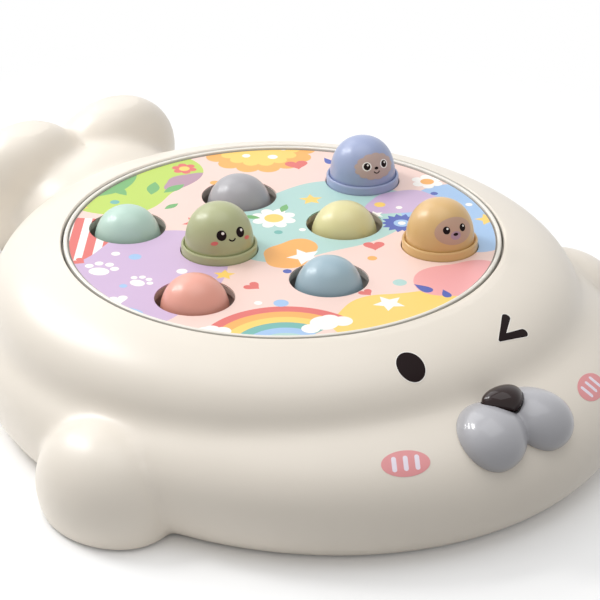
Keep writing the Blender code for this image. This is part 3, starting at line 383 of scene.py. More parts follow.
def round_outline(x, y, reach_at, count, turn=0.0, squash=1.0):
    points = []
    for number in range(count):
        angle = math.tau * number / count
        reach = reach_at(angle)
        points.append((reach * math.cos(angle), squash * reach * math.sin(angle)))
    return turned_points(points, x, y, turn)


def disc(x, y, r, squash=1.0, turn=0.0):
    return round_outline(x, y, lambda angle: r, 48, math.radians(turn), squash)


def blob(x, y, r, phase=0.0, squash=1.0, turn=0.0):
    def reach(angle):
        sway = 0.11 * math.sin(2 * angle + phase) + 0.08 * math.sin(3 * angle + 2 * phase)
        return r * (1.0 + sway + 0.04 * math.sin(5 * angle - phase))
    return round_outline(x, y, reach, 96, math.radians(turn), squash)


def rosette(x, y, r, petals, depth, turn=0.0):
    def reach(angle):
        return r * (1.0 - depth + depth * abs(math.cos(petals * angle / 2)) ** 0.7)
    return round_outline(x, y, reach, petals * 12, math.radians(turn))


def star(x, y, r, points=5, inner=0.48, turn=90.0):
    corners = []
    for number in range(2 * points):
        reach = r if number % 2 == 0 else r * inner
        angle = math.pi * number / points
        corners.append((reach * math.cos(angle), reach * math.sin(angle)))
    return turned_points(corners, x, y, math.radians(turn))


def heart(x, y, r, turn=0.0):
    points = []
    for number in range(48):
        t = math.tau * number / 48
        across = 16 * math.sin(t) ** 3
        up = 13 * math.cos(t) - 5 * math.cos(2 * t) - 2 * math.cos(3 * t) - math.cos(4 * t)
        points.append((across * r / 16, up * r / 16))
    return turned_points(points, x, y, math.radians(turn))


def drop(x, y, r, turn=0.0):
    points = []
    for number in range(40):
        t = math.tau * number / 40
        points.append((r * math.sin(t) * math.sin(t / 2) ** 1.6, -1.4 * r * math.cos(t)))
    return turned_points(points, x, y, math.radians(180.0 + turn))


def leaf(x, y, length, width, turn=0.0):
    upper = [(length * (n / 14 - 0.5), width / 2 * math.sin(math.pi * n / 14)) for n in range(15)]
    lower = [(px, -py) for px, py in reversed(upper[1:-1])]
    return turned_points(upper + lower, x, y, math.radians(turn))


def bar(x, y, length, width, turn=0.0):
    """A stroke with round ends."""
    points = []
    for number in range(13):
        angle = math.pi * number / 12 - math.pi / 2
        points.append(((length - width) / 2 + width / 2 * math.cos(angle), width / 2 * math.sin(angle)))
    points += [(-px, -py) for px, py in points]
    return turned_points(points, x, y, math.radians(turn))


def arch(x, y, inner, outer, start, end, count=48):
    """A bent band between two radii."""
    angles = [math.radians(start + (end - start) * n / count) for n in range(count + 1)]
    points = [(x + outer * math.cos(a), y + outer * math.sin(a)) for a in angles]
    return points + [(x + inner * math.cos(a), y + inner * math.sin(a)) for a in reversed(angles)]


def inside(outline, points):
    """Which points lie within an outline."""
    corners = np.array(outline)
    hits = np.zeros(len(points), bool)
    px, py = points[:, 0], points[:, 1]
    for (ax, ay), (bx, by) in zip(corners, np.roll(corners, -1, axis=0)):
        if ay == by:
            continue
        crosses = (ay > py) != (by > py)
        hits ^= crosses & (px < (bx - ax) * (py - ay) / (by - ay) + ax)
    return hits


def net_inside(border, grid):
    """Even points inside a border, so that a sheet can bend."""
    reach_x = [x for x, _ in border]
    reach_y = [y for _, y in border]
    across = int((max(reach_x) - min(reach_x)) / grid)
    up = int((max(reach_y) - min(reach_y)) / grid)
    net = [
        (min(reach_x) + grid * (i + 0.5), min(reach_y) + grid * (j + 0.5))
        for i in range(across) for j in range(up)
    ]
    kept = inside(border, np.array(net))
    return [Vector(point) for point, keep in zip(net, kept) if keep]


def inks_over(middles, prints, ink_names):
    """The number of the uppermost ink over each point, and whether any print lies over it."""
    colours = np.zeros(len(middles), int)
    printed = np.zeros(len(middles), bool)
    for ink_name, outline, *masks in prints:
        covered = inside(outline, middles)
        for mask in masks:
            covered &= inside(mask, middles)
        colours[covered] = ink_names.index(ink_name)
        printed |= covered
    return colours, printed


def printed_sheet(name, border, holes, prints, inks, grid=0.0, only_prints=False):
    """A flat sheet cut along every printed edge. Each face takes the uppermost print over it."""
    outlines = [border] + holes + [outline for _, outline, *_ in prints]
    outlines += [mask for _, _, *masks in prints for mask in masks]
    points, edges = [], []
    for outline in outlines:
        first = len(points)
        points += [Vector(point) for point in outline]
        edges += [(first + n, first + (n + 1) % len(outline)) for n in range(len(outline))]
    if grid:
        points += net_inside(border, grid)
    corners, _, faces, *_ = delaunay_2d_cdt(points, edges, [], 0, 0.001)
    flat = np.array([tuple(corner) for corner in corners])
    middles = np.array([flat[list(face)].mean(axis=0) for face in faces])
    kept = inside(border, middles)
    for hole in holes:
        kept &= ~inside(hole, middles)
    colours, printed = inks_over(middles, prints, list(inks))
    if only_prints:
        kept &= printed
    chosen = [list(face) for face, keep in zip(faces, kept) if keep]
    mesh = bpy.data.meshes.new(name)
    mesh.from_pydata([(x / 1000, y / 1000, 0.0) for x, y in flat], [], chosen)
    for finish in inks.values():
        mesh.materials.append(finish)
    mesh.polygons.foreach_set("material_index", [int(c) for c, keep in zip(colours, kept) if keep])
    sheet = bpy.data.objects.new(name, mesh)
    bpy.context.scene.collection.objects.link(sheet)
    take(sheet)
    bpy.ops.object.mode_set(mode="EDIT")
    bpy.ops.mesh.select_all(action="SELECT")
    bpy.ops.mesh.delete_loose()
    face_outwards()
    bpy.ops.object.mode_set(mode="OBJECT")
    if mesh.polygons[0].normal.z < 0:
        bpy.ops.object.mode_set(mode="EDIT")
        bpy.ops.mesh.flip_normals()
        bpy.ops.object.mode_set(mode="OBJECT")
    return sheet


def stick_on(sheet, carrier, at, depth=0.00005, size=1.0):
    """Lays a printed sheet on the carrier's surface, nearest to a point."""
    _, spot, normal, _ = carrier.closest_point_on_mesh(Vector(at))
    across = Vector((0.0, 0.0, 1.0)).cross(normal).normalized()
    up = normal.cross(across)
    turn = Matrix((across, up, normal)).transposed().to_4x4()
    lift = 0.006
    lifted = Matrix.Translation(spot + normal * lift)
    sheet.matrix_world = lifted @ turn @ Matrix.Diagonal((size, size, 1.0, 1.0))
    take(sheet)
    wrap = sheet.modifiers.new("lay_on", "SHRINKWRAP")
    wrap.target = carrier
    wrap.wrap_method = "PROJECT"
    wrap.use_project_z = True
    wrap.use_negative_direction = True
    wrap.use_positive_direction = False
    wrap.wrap_mode = "ABOVE_SURFACE"
    wrap.offset = 2 * depth
    bpy.ops.object.modifier_apply(modifier=wrap.name)
    thick = sheet.modifiers.new("film", "SOLIDIFY")
    thick.thickness = depth
    thick.offset = -1.0
    bpy.ops.object.modifier_apply(modifier=thick.name)
    settle(sheet)
    smooth_faces(sheet, 30.0)


# The body

def level_share(form, z):
    """How wide a form is at a height, as a share of its widest."""
    share = min(abs(z - form["z"]) / form["half_height"], 1.0)
    return (1.0 - share ** form["power"]) ** (1.0 / form["power"])


def oval_form(name, form, inset, levels, sides):
    """The dome or the skirt: a turned form, drawn out to an oval."""
    tilts = [math.pi * (level / levels - 0.5) for level in range(1, levels)]
    half_height = form["half_height"] - inset
    rings = []
    for tilt in tilts:
        rise = math.copysign(abs(math.sin(tilt)) ** (2.0 / form["power"]), tilt)
        width = abs(math.cos(tilt)) ** (2.0 / form["power"])
        rings.append((width, form["z"] + rise * half_height))
    piece = turned(name, rings, sides)
    piece.scale = (form["half_width"] - inset, form["half_length"] - inset, 1.0)
    piece.location = (0.0, form["y"], 0.0)
    return settle(piece)


def body_lobes(inset, segments, rings):
    """The two flippers, the root of the tail and its two lobes."""
    return [
        lobe("flipper_left", FLIPPER, inset, 1, segments, rings),
        lobe("flipper_right", FLIPPER, inset, -1, segments, rings),
        lobe("tail_root", TAIL_ROOT, inset, 1, segments, rings),
        lobe("tail_left", TAIL, inset, 1, segments, rings),
        lobe("tail_right", TAIL, inset, -1, segments, rings),
    ]


def off_form(form, point):
    """How far a point lies from a form's edge at its own height, as a share of the form's width."""
    reach = math.hypot(point.x / form["half_width"], (point.y - form["y"]) / form["half_length"])
    return abs(reach - level_share(form, point.z))


def crease_weight(point):
    """Most where the dome rises out of the skirt."""
    fades_over = 0.11
    return 1.0 - (off_form(SKIRT, point) + off_form(DOME, point)) / fades_over


def tail_weight(point):
    """Most in the valleys round the tail's lobes."""
    begins, grows_over = 0.118, 0.015
    return (point.y - begins) / grows_over


def cut_level(piece, height, keep_below):
    """Cuts a piece flat at a height and closes it there."""
    take(piece)
    bpy.ops.object.mode_set(mode="EDIT")
    bpy.ops.mesh.select_all(action="SELECT")
    bpy.ops.mesh.bisect(
        plane_co=(0.0, 0.0, height), plane_no=(0.0, 0.0, 1.0), use_fill=True,
        clear_outer=keep_below, clear_inner=not keep_below)
    bpy.ops.object.mode_set(mode="OBJECT")
    return piece


def shadow_walls(piece, radius):
    """Dresses the upright walls of the gap round the deck in painted shade, for the shadow in the narrow
    gap.
    """
    slot = slot_of(piece, gap_painted_shade)
    for wall in piece.data.polygons:
        away = math.hypot(wall.center.x, wall.center.y - MIDDLE_Y)
        upright = abs(wall.normal.z) < 0.6
        if upright and abs(away - radius) < GAP and wall.center.z > LEDGE_TOP:
            wall.material_index = slot


def make_body():
    """The hollow shell, with a ledge for the deck and a well for the nose."""
    swell, lobe_swell = -0.0003, -0.0001    # what the rubbing down takes off again
    skin = joined("body_skin", [
        oval_form("dome", DOME, swell, 80, 160),
        oval_form("skirt", SKIRT, swell, 80, 160),
        *body_lobes(lobe_swell, 80, 48),
    ])
    cast(skin, SKIN_GRAIN)
    soften(skin, 8)
    soften(skin, 30, crease_weight)
    soften(skin, 24, tail_weight)
    cut_level(skin, DECK_TOP, True)
    cut_level(skin, BODY_FLOOR, False)

    room = joined("room", [
        oval_form("dome_room", DOME, WALL, 24, 64),
        oval_form("skirt_room", SKIRT, WALL, 24, 64),
        *body_lobes(LOBE_WALL, 24, 14),
    ])
    cast(room, ROOM_GRAIN)
    seat = [(OPENING_R + WALL, LEDGE_UNDER), (OPENING_R + WALL, DECK_TOP + 10 * PAST)]
    carve(room, turned("seat", seat, HOLE_SIDES))
    carve(skin, room)
    for side in (1, -1):
        mouth = lobe("flipper_mouth", FLIPPER, WALL, side, 80, 48)
        carve(skin, cut_level(mouth, COVER_ROOM, True))
    lower = [(LEDGE_R, LEDGE_UNDER - PAST), (LEDGE_R, LEDGE_TOP), (OPENING_R, LEDGE_TOP)]
    rounded_edge = [
        (OPENING_R, DECK_TOP - 0.0013), (OPENING_R + 0.0002, DECK_TOP - 0.0006),
        (OPENING_R + 0.0007, DECK_TOP - 0.0001), (OPENING_R + 0.0020, DECK_TOP + 0.0006),
    ]
    carve(skin, turned("deck_way", lower + rounded_edge, RIM_SIDES))
    carve(skin, nose_well())
    to_toy(skin)
    smooth_faces(skin, 30.0)
    # The second finish is painted shade on the walls of the gap round the deck
    dress(skin, cream, gap_painted_shade)
    shadow_walls(skin, OPENING_R)
    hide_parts("body_shell")
    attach(skin, "body")
    return skin


# The deck

def make_deck():
    """The deck: a bead rim, a flat face and eight guide tubes."""
    outer = DECK_R - 0.0002
    bead = [
        (outer, DECK_UNDER), (outer, DECK_TOP - 0.0008), (outer - 0.0002, DECK_TOP - 0.0003),
        (outer - 0.0006, DECK_TOP), (RIM_INNER_R + 0.0005, DECK_TOP),
        (RIM_INNER_R + 0.0001, DECK_TOP - 0.0003), (RIM_INNER_R, DECK_TOP - 0.0008),
        (RIM_INNER_R, DECK_FACE),
    ]
    deck = turned("deck_plate", bead, RIM_SIDES)
    places = [deck_place(*share) for share in MOLE_SHARES.values()]
    tube = [(TUBE_R, TUBE_UNDER), (TUBE_R, DECK_UNDER + PAST / 2)]
    for place in places:
        carve(deck, turned("tube", tube, HOLE_SIDES, place), "UNION")
    bore = [
        (TUBE_BORE_R, TUBE_UNDER - PAST), (TUBE_BORE_R, DECK_UNDER),
        (HOLE_R, DECK_UNDER), (HOLE_R, DECK_TOP + PAST),
    ]
    for place in places:
        carve(deck, turned("bore", bore, HOLE_SIDES, place))
    to_toy(deck)
    smooth_faces(deck, 40.0)
    # The second and third finishes are painted shade: in the holes, and in the gap round the deck
    dress(deck, deck_white, hole_painted_shade, gap_painted_shade)
    shadow_walls(deck, outer)
    # The bores' walls take the darker finish: painted shade in the holes
    middles = [Vector((x, y + MIDDLE_Y)) for x, y in places]
    slot = slot_of(deck, hole_painted_shade)
    for wall in deck.data.polygons:
        away = min((wall.center.xy - middle).length for middle in middles)
        if away < TUBE_BORE_R + GAP / 3 and abs(wall.normal.z) < 0.5:
            wall.material_index = slot
    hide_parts("game_deck")
    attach(deck, "body")


# The deck's printed sheet

def stripes(ink_name, x, y, count, pitch, width, length, turn, mask):
    """Even stripes inside a patch."""
    cosine, sine = math.cos(math.radians(turn)), math.sin(math.radians(turn))
    rows = []
    for number in range(count):
        off = (number - (count - 1) / 2) * pitch
        rows.append((ink_name, bar(x - off * sine, y + off * cosine, length, width, turn), mask))
    return rows


def rainbow(x, y, outer, step, start, end, ink_names):
    rows = []
    for number, ink_name in enumerate(ink_names):
        upper = outer - step * number
        rows.append((ink_name, arch(x, y, upper - step, upper, start, end)))
    return rows


def cloud(x, y, r):
    puffs = ((0.0, 0.0, 1.0), (-1.2, -0.35, 0.65), (1.25, -0.3, 0.7), (0.55, 0.3, 0.7))
    return [("white", disc(x + r * px, y + r * py, r * size)) for px, py, size in puffs]


def flower(x, y, r, petals, petal_ink, heart_ink, turn=0.0):
    return [
        (petal_ink, rosette(x, y, r, petals, 0.32, turn)),
        (heart_ink, disc(x, y, r * 0.42)),
    ]


def paw(x, y, r, turn, name="white"):
    rows = [(name, disc(x, y, r, 0.8, turn))]
    for angle, away in ((35, 1.55), (72, 1.7), (108, 1.7), (145, 1.55)):
        a = math.radians(angle + turn)
        rows.append((name, disc(x + away * r * math.cos(a), y + away * r * math.sin(a), 0.42 * r)))
    return rows


def deck_prints():
    """Every print on the deck, from the lowest up: its ink, its outline and the patch that it stays in."""
    lilac_patch = blob(-64, -6, 33, 0.6, 1.25)
    mint_patch = blob(22, 8, 40, 2.1, 0.85, 24)
    meadow = blob(-36, 74, 31, 1.1, 0.8, 20)
    sun_patch = rosette(28, 84, 25, 14, 0.12)
    sky_patch = blob(78, -14, 25, 0.2, 1.3)
    candy = blob(-86, 34, 25, 1.9, 0.9, 40)
    shore = blob(10, -82, 26, 0.9, 0.75)
    sweet = blob(50, -68, 20, 2.8, 0.9)
    prints = [
        ("lilac", lilac_patch),
        ("mint", mint_patch),
        ("green", meadow),
        ("leaf", blob(-52, 82, 20, 2.4, 0.8, 35), meadow),
        ("orange", sun_patch),
        ("yellow", rosette(28, 84, 18, 14, 0.14)),
        ("sky", sky_patch),
        ("coral", candy),
        ("yellow", shore),
        ("pink", sweet),
        ("mint", blob(-34, -70, 17, 0.3, 0.8, -30)),
        ("mauve", blob(-14, 66, 11, 1.3, 0.7, 12), meadow),
        ("lilac", blob(60, 8, 15, 2.0, 0.8)),
        ("orange", blob(-4, -16, 13, 1.0, 0.8, 30)),
    ]
    prints += stripes("white", -86, 34, 8, 7.0, 3.2, 90, 62, candy)
    prints += stripes("pink", 50, -68, 7, 6.0, 1.6, 70, -28, sweet)
    prints += rainbow(-40, -88, 34, 4.4, 20, 160, ("coral", "orange", "yellow", "teal", "sky"))
    prints += cloud(-18, -76, 5.6)
    prints += cloud(-62, -64, 4.8)
    prints += flower(4, 17, 9.5, 8, "white", "yellow")
    prints += flower(72, -64, 9.0, 7, "orange", "coral", 12)
    prints += flower(-10, 79, 5.5, 6, "coral", "yellow", 20)
    prints += flower(79, 22, 7.0, 6, "white", "orange", 8)
    prints += paw(-80, 2, 4.2, -40)
    prints += paw(-70, -14, 3.2, -62)
    prints += paw(64, 62, 3.6, 24, "coral")
    for x, y, r, turn, name in (
        (0, -21, 7.5, 90, "white"), (26, 27, 5.2, 70, "yellow"), (-27, 27, 6.0, 100, "coral"),
        (84, -22, 5.6, 80, "yellow"), (12, -72, 6.6, 96, "white"), (44, 2, 3.6, 84, "white"),
        (-36, -22, 4.6, 60, "yellow"), (-66, 62, 4.8, 110, "yellow"),
    ):
        prints.append((name, star(x, y, r, turn=turn)))
    for x, y, r, turn, name in (
        (36, 62, 5.0, -14, "coral"), (70, -2, 4.0, 18, "coral"), (30, -24, 4.4, -20, "coral"),
        (-30, -36, 3.6, 24, "coral"), (-82, -24, 3.8, -10, "white"), (8, -60, 3.0, 12, "coral"),
        (-84, 14, 3.0, 30, "coral"),
    ):
        prints.append((name, heart(x, y, r, turn)))
    for x, y, r, turn, name in (
        (30, -66, 3.4, 20, "navy"), (36, -74, 2.6, -10, "navy"), (50, 60, 2.6, 0, "navy"),
        (-24, 24, 2.6, 35, "navy"), (-80, -36, 3.0, 10, "sky"), (62, -10, 2.8, -30, "navy"),
    ):
        prints.append((name, drop(x, y, r, turn)))
    for x, y, length, width, turn in (
        (-30, 66, 13, 5.4, 60), (-22, 62, 12, 5.0, 20), (-44, 70, 12, 5.0, 100), (-4, 22, 8, 3.4, 140),
        (12, 24, 8, 3.4, 50), (64, -70, 9, 4.0, 150), (-30, 46, 8, 3.4, 20),
    ):
        prints.append(("leaf", leaf(x, y, length, width, turn)))
    spots = (
        ("navy", 50, -10, 6.4), ("sky", 82, 4, 3.2), ("navy", 76, 10, 1.6), ("white", 84, -6, 1.5),
        ("sky", -62, 8, 2.6), ("white", -68, 14, 1.8), ("sky", -76, -14, 1.6), ("white", -50, -12, 2.2),
        ("orange", 24, -34, 2.0), ("mint", 24, -58, 2.8), ("sky", -26, -54, 3.0), ("white", -34, -50, 1.6),
        ("yellow", 50, 10, 2.4), ("white", 56, 4, 1.4), ("teal", 20, 4, 2.4), ("white", 10, 2, 1.4),
        ("teal", 0, 4, 1.8), ("orange", -4, 60, 2.0), ("white", 30, 74, 2.2), ("white", 20, 80, 1.8),
        ("white", 38, 80, 1.8), ("teal", -50, 60, 2.0), ("coral", 22, -8, 1.6), ("navy", -12, -30, 1.8),
    )
    prints += [(name, disc(x, y, r)) for name, x, y, r in spots]
    prints.append(("navy", star(50, -10, 9.0, 14, 0.74, 0.0)))
    prints += [("sky", disc(50, -10, 3.4)), ("white", disc(50, -10, 1.6))]
    return prints


def make_artwork():
    """The printed film on the deck, with a fine dark line round it that is painted shade for the shadow
    under the rim, and a hole for each mole.
    """
    radius = 1000 * (RIM_INNER_R - GAP)
    border = round_outline(0, 0, lambda angle: radius, 192)
    field = round_outline(0, 0, lambda angle: radius - 0.4, 192)
    scale = 1000 * RIM_INNER_R
    holes = [
        round_outline(x * scale, y * scale, lambda angle: 1000 * HOLE_R, HOLE_SIDES)
        for x, y in MOLE_SHARES.values()
    ]
    # The taupe ring between the border and the field is painted shade along the rim
    prints = [("line", border), ("ground", field)]
    prints += [(name, outline, field, *masks) for name, outline, *masks in deck_prints()]
    sheet = printed_sheet("deck_artwork", border, holes, prints, INKS)
    sheet.rotation_euler = (0.0, 0.0, DECK_TURN)
    sheet.location = (0.0, 0.0, PRINT_TOP)
    settle(sheet)
    film = sheet.modifiers.new("film", "SOLIDIFY")
    film.thickness = print_high[2] - print_low[2]
    film.offset = -1.0
    take(sheet)
    bpy.ops.object.modifier_apply(modifier=film.name)
    to_toy(sheet)
    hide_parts("deck_print")
    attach(sheet, "body")


# The printed face

def on_toy(x, y, z):
    """A place in millimetres from the deck's axis, in the toy's own frame."""
    return (x / 1000, y / 1000 + MIDDLE_Y, z / 1000)


def bend(x, y, r, start, end):
    """A round end, drawn clockwise."""
    turns = [math.radians(start + (end - start) * n / 12) for n in range(13)]
    return [(x + r * math.cos(turn), y + r * math.sin(turn)) for turn in turns]


def wink_outline(edge):
    """Two strokes that run into a point: a shut eye."""
    upper = bend(4.7, 4.0, 1.75 + edge, 122.0, -62.0)
    lower = bend(5.4, -5.15, 1.8 + edge, 76.0, -107.0)
    return upper + [(-2.3 + 2.8 * edge, -1.5)] + lower + bend(-7.8, -2.5, 0.6 + edge, -107.0, -238.0)


def make_face(skin):
    """The open eye, the wink and the two cheeks, printed on the body."""
    edge = 0.3
    edged = {"white": INKS["white"], "brown": INKS["brown"]}
    eye_rows = [("brown", disc(0, 0, 5.5, 1.24))]
    eye = printed_sheet("eye_print", disc(0, 0, 5.5 + edge, 1.23), [], eye_rows, edged, grid=1.1)
    stick_on(eye, skin, on_toy(-24.2, -110.3, 60.5))
    wink_rows = [("brown", wink_outline(0.0))]
    wink = printed_sheet("wink_print", wink_outline(edge), [], wink_rows, edged, grid=1.1)
    stick_on(wink, skin, on_toy(24.5, -109.5, 60.0))
    cheeks = []
    for side, name in ((-1, "cheek_print_right"), (1, "cheek_print_left")):
        patch = disc(0, 0, 9.3, 0.57)
        rows = [("cheek", patch)]
        rows += [("stripe", bar(4.4 * n, 0, 6.2, 1.8, 90 + side * 5)) for n in (-1, 0, 1)]
        cheek = printed_sheet(name, patch, [], rows, INKS, grid=1.3)
        stick_on(cheek, skin, on_toy(side * 47.0, -135.3, 38.8))
        cheeks.append(cheek)
    for piece in (eye, wink, *cheeks):
        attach(piece, "body")


# The moles

def cap_profile():
    """The cap's wall, from the middle of its ceiling down inside, round the lip and up outside."""
    power, dome_r, dome_h = 2.3, 0.0140, 0.0175
    collar_r, collar_top, lip_r = 0.0155, PRINT_TOP + 0.0036, 0.0169
    base = collar_top - 0.0011
    lip_under, lip_top = DECK_UNDER - 0.0018, DECK_UNDER - GAP
    inner_r, bore_r, tip_r, thick = 0.0118, 0.0139, 0.0003, 0.0016

    def dome_ring(radius, rise, share):
        """A ring of a rounded top, at a share of the way from its foot to its tip."""
        tilt = math.pi / 2 * share
        return radius * math.cos(tilt) ** (2.0 / power), base + rise * math.sin(tilt) ** (2.0 / power)

    rings = [(tip_r, base + dome_h - thick)]
    rings += [dome_ring(inner_r, dome_h - thick, step / 8) for step in range(7, 0, -1)]
    rings += [(inner_r, base - thick), (bore_r, base - thick)]
    rings += [
        (bore_r, lip_under), (lip_r, lip_under), (lip_r, lip_top), (collar_r, lip_top),
        (collar_r, collar_top - 0.0008), (collar_r - 0.0002, collar_top - 0.0003),
        (collar_r - 0.0005, collar_top), (dome_r + 0.0006, collar_top - 0.0001),
        (dome_r + 0.0003, collar_top - 0.0005), (dome_r + 0.0001, base),
    ]
    rings += [dome_ring(dome_r, dome_h, step / 22) for step in range(22)]
    return rings + [(tip_r, base + dome_h)]


def make_caps():
    """One cap is turned, and the others are copies of it."""
    colours = {
        "teal": (0.455, 0.63, 0.545), "grey": (0.36, 0.35, 0.37), "lavender": (0.32, 0.375, 0.57),
        "olive": (0.405, 0.425, 0.225), "yellow": (0.69, 0.635, 0.315), "pink": (0.80, 0.36, 0.28),
        "blue": (0.315, 0.44, 0.51), "orange": (0.68, 0.435, 0.175),
    }
    first = turned("cap", cap_profile(), HOLE_SIDES)
    caps = {}
    for mole, share in MOLE_SHARES.items():
        cap = first.copy()
        cap.data = first.data.copy()
        cap.name = cap.data.name = f"cap_{mole}"
        bpy.context.scene.collection.objects.link(cap)
        x, y = deck_place(*share)
        cap.location = (x, y + MIDDLE_Y, 0.0 if mole in RAISED else -TRAVEL)
        settle(cap)
        smooth_faces(cap, 40.0)
        satin = plastic(f"cap_{mole}_satin", colours[mole], rough=0.34, cloud=0.02, coat=0.2, coat_rough=0.2)
        dress(cap, satin)
        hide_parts(f"mole_cap_{mole}")
        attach(cap, f"mole_{mole}")
        caps[mole] = cap
    bpy.data.objects.remove(first, do_unlink=True)
    return caps


# The springs under the plungers' heads

def wound_spring(name, low, high):
    """A wire wound in even turns from its lower end to its upper end, on the origin's axis."""
    put_down()
    bpy.ops.mesh.primitive_circle_add(
        vertices=10, radius=SPRING_WIRE_R, location=(SPRING_R, 0.0, low + SPRING_WIRE_R),
        rotation=(math.pi / 2, 0.0, 0.0))
    spring = settle(bpy.context.object)
    spring.name = spring.data.name = name
    coil = spring.modifiers.new("coil", "SCREW")
    coil.screw_offset = (high - low - 2 * SPRING_WIRE_R) / SPRING_TURNS
    coil.iterations = SPRING_TURNS
    coil.steps = coil.render_steps = SPRING_STEPS
    bpy.ops.object.modifier_apply(modifier=coil.name)
    bpy.ops.object.mode_set(mode="EDIT")
    bpy.ops.mesh.select_all(action="SELECT")
    bpy.ops.mesh.fill_holes(sides=0)
    face_outwards()
    bpy.ops.object.mode_set(mode="OBJECT")
    return spring


def make_springs():
    """A spring for each cap, wound between the ends of its part in the frame."""
    steel = metal("spring_wire_steel", (0.58, 0.58, 0.60), 0.25, 0.05)
    for mole, share in MOLE_SHARES.items():
        low, high = [corner[2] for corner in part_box(f"mole_spring_{mole}")]
        spring = wound_spring(f"spring_{mole}", low, high)
        x, y = deck_place(*share)
        spring.location = (x, y + MIDDLE_Y, 0.0)
        settle(spring)
        smooth_faces(spring, 50.0)
        dress(spring, steel)
        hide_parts(f"mole_spring_{mole}")
        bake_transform(spring)


# Printed faces on the raised caps: plain animal faces

def tufted(x, y, across, squash, tufts, depth):
    """A round patch with a tufted edge."""
    return round_outline(
        x, y, lambda angle: across * (1.0 - depth + depth * abs(math.cos(tufts * angle / 2)) ** 0.7),
        tufts * 10, 0.0, squash)


def round_eye(x, y, r, ring=None):
    """An eye with a small light in it, and a pale ring where one is asked for."""
    rows = [(ring, disc(x, y, 1.4 * r))] if ring else []
    return rows + [("brown", disc(x, y, r, 1.1)), ("white", disc(x + 0.3 * r, y + 0.4 * r, 0.3 * r))]


def cap_face_rows(mole):
    """A cap's printed face: its border, and its prints from the lowest up."""
    if mole == "lavender":
        mask = tufted(0, 0, 7.4, 0.64, 13, 0.08)
        return mask, [
            ("fawn", mask), *round_eye(-3.3, 0.4, 1.15, "white"), *round_eye(3.3, 0.4, 1.15, "white"),
            ("brown", disc(0, -0.6, 0.75, 0.7)), ("brown", arch(0, -1.3, 0.9, 1.3, 200, 340, 16)),
        ]
    if mole == "olive":
        return disc(0, 0, 8.0, 0.66), [
            *round_eye(-3.4, 0.4, 1.6), *round_eye(3.4, 0.4, 1.6),
            ("coral", disc(-5.9, -1.9, 1.1, 0.6)), ("coral", disc(5.9, -1.9, 1.1, 0.6)),
            ("brown", arch(0, -0.8, 0.9, 1.4, 200, 340, 16)),
        ]
    mask = disc(0, 0, 6.8, 0.68)
    return mask, [
        ("tan", mask), *round_eye(-3.0, 0.7, 1.2), *round_eye(3.0, 0.7, 1.2),
        ("mauve", disc(0, -1.5, 1.9, 0.75)), ("brown", disc(0, -1.1, 0.9, 0.6)),
    ]


def make_cap_faces(caps):
    """A face for each raised cap, on the side that looks to the muzzle."""
    heading = Vector((math.sin(DECK_TURN), -math.cos(DECK_TURN), 0.0))
    for mole in RAISED:
        border, rows = cap_face_rows(mole)
        face = printed_sheet(f"face_print_{mole}", border, [], rows, INKS, grid=0.6, only_prints=True)
        x, y = deck_place(*MOLE_SHARES[mole])
        aim = Vector((x, y + MIDDLE_Y, PRINT_TOP + 0.0130)) + heading * 0.016
        stick_on(face, caps[mole], aim, depth=0.00004, size=1.2)
        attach(face, f"mole_{mole}")


# Muzzle and nose

def make_muzzle():
    """The two pads, cut to the body's face behind and to the nose's room above."""
    halves = [lobe("pad_left", PAD, 0.0, 1, 96, 64), lobe("pad_right", PAD, 0.0, -1, 96, 64)]
    pads = joined("muzzle_pads", halves)
    cast(pads, PAD_GRAIN)
    carve(pads, lobe("nose_seat", NOSE_SEAT, 0.0, 1, 48, 28))
    cast(pads, PAD_GRAIN)
    soften(pads, 16)
    face = joined("face", [
        oval_form("dome_face", DOME, -2 * GAP, 60, 128),
        oval_form("skirt_face", SKIRT, -2 * GAP, 60, 128),
    ])
    cast(face, FACE_GRAIN)
    carve(pads, face)
    carve(pads, nose_well())
    to_toy(pads)
    smooth_faces(pads, 40.0)
    dress(pads, pad_lilac)
    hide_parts("muzzle")
    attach(pads, "body")


def nose_well():
    """The room in which the nose moves when it is pressed."""
    well = lobe("nose_well", NOSE, -GAP, 1, 48, 28)
    for vertex in well.data.vertices:
        if vertex.co.z < NOSE["centre"][2]:
            vertex.co.z -= NOSE_TRAVEL + GAP
    return well


def make_nose():
    nose = lobe("nose_knob", NOSE, 0.0, 1, 72, 40)
    to_toy(nose)
    smooth_faces(nose, 60.0)
    dress(nose, nose_brown)
    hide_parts("nose_button")
    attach(nose, "nose")


# Stage, light and camera

def own_rays(nodes, links):
    """One for what the camera sees straight, in a gloss or through glass, and nought for other light."""
    rays = nodes.new("ShaderNodeLightPath")
    seen = nodes.new("ShaderNodeMath")
    seen.operation = "MAXIMUM"
    seen_through = nodes.new("ShaderNodeMath")
    seen_through.operation = "MAXIMUM"
    links.new(rays.outputs["Is Camera Ray"], seen.inputs[0])
    links.new(rays.outputs["Is Glossy Ray"], seen.inputs[1])
    links.new(seen.outputs["Value"], seen_through.inputs[0])
    links.new(rays.outputs["Is Transmission Ray"], seen_through.inputs[1])
    return seen_through.outputs["Value"]


def fade(nodes, links, away, none_at, full_at):
    """A share that rises smoothly between two distances."""
    share = nodes.new("ShaderNodeMapRange")
    share.interpolation_type = "SMOOTHSTEP"
    share.inputs["From Min"].default_value = none_at
    share.inputs["From Max"].default_value = full_at
    links.new(away, share.inputs["Value"])
    return share.outputs["Result"]


def with_rays(nodes, links, operation, share, seen):
    """Joins a share with what own_rays gives, by the larger of the two or by their product."""
    both = nodes.new("ShaderNodeMath")
    both.operation = operation
    links.new(share, both.inputs[0])
    links.new(seen, both.inputs[1])
    return both.outputs["Value"]


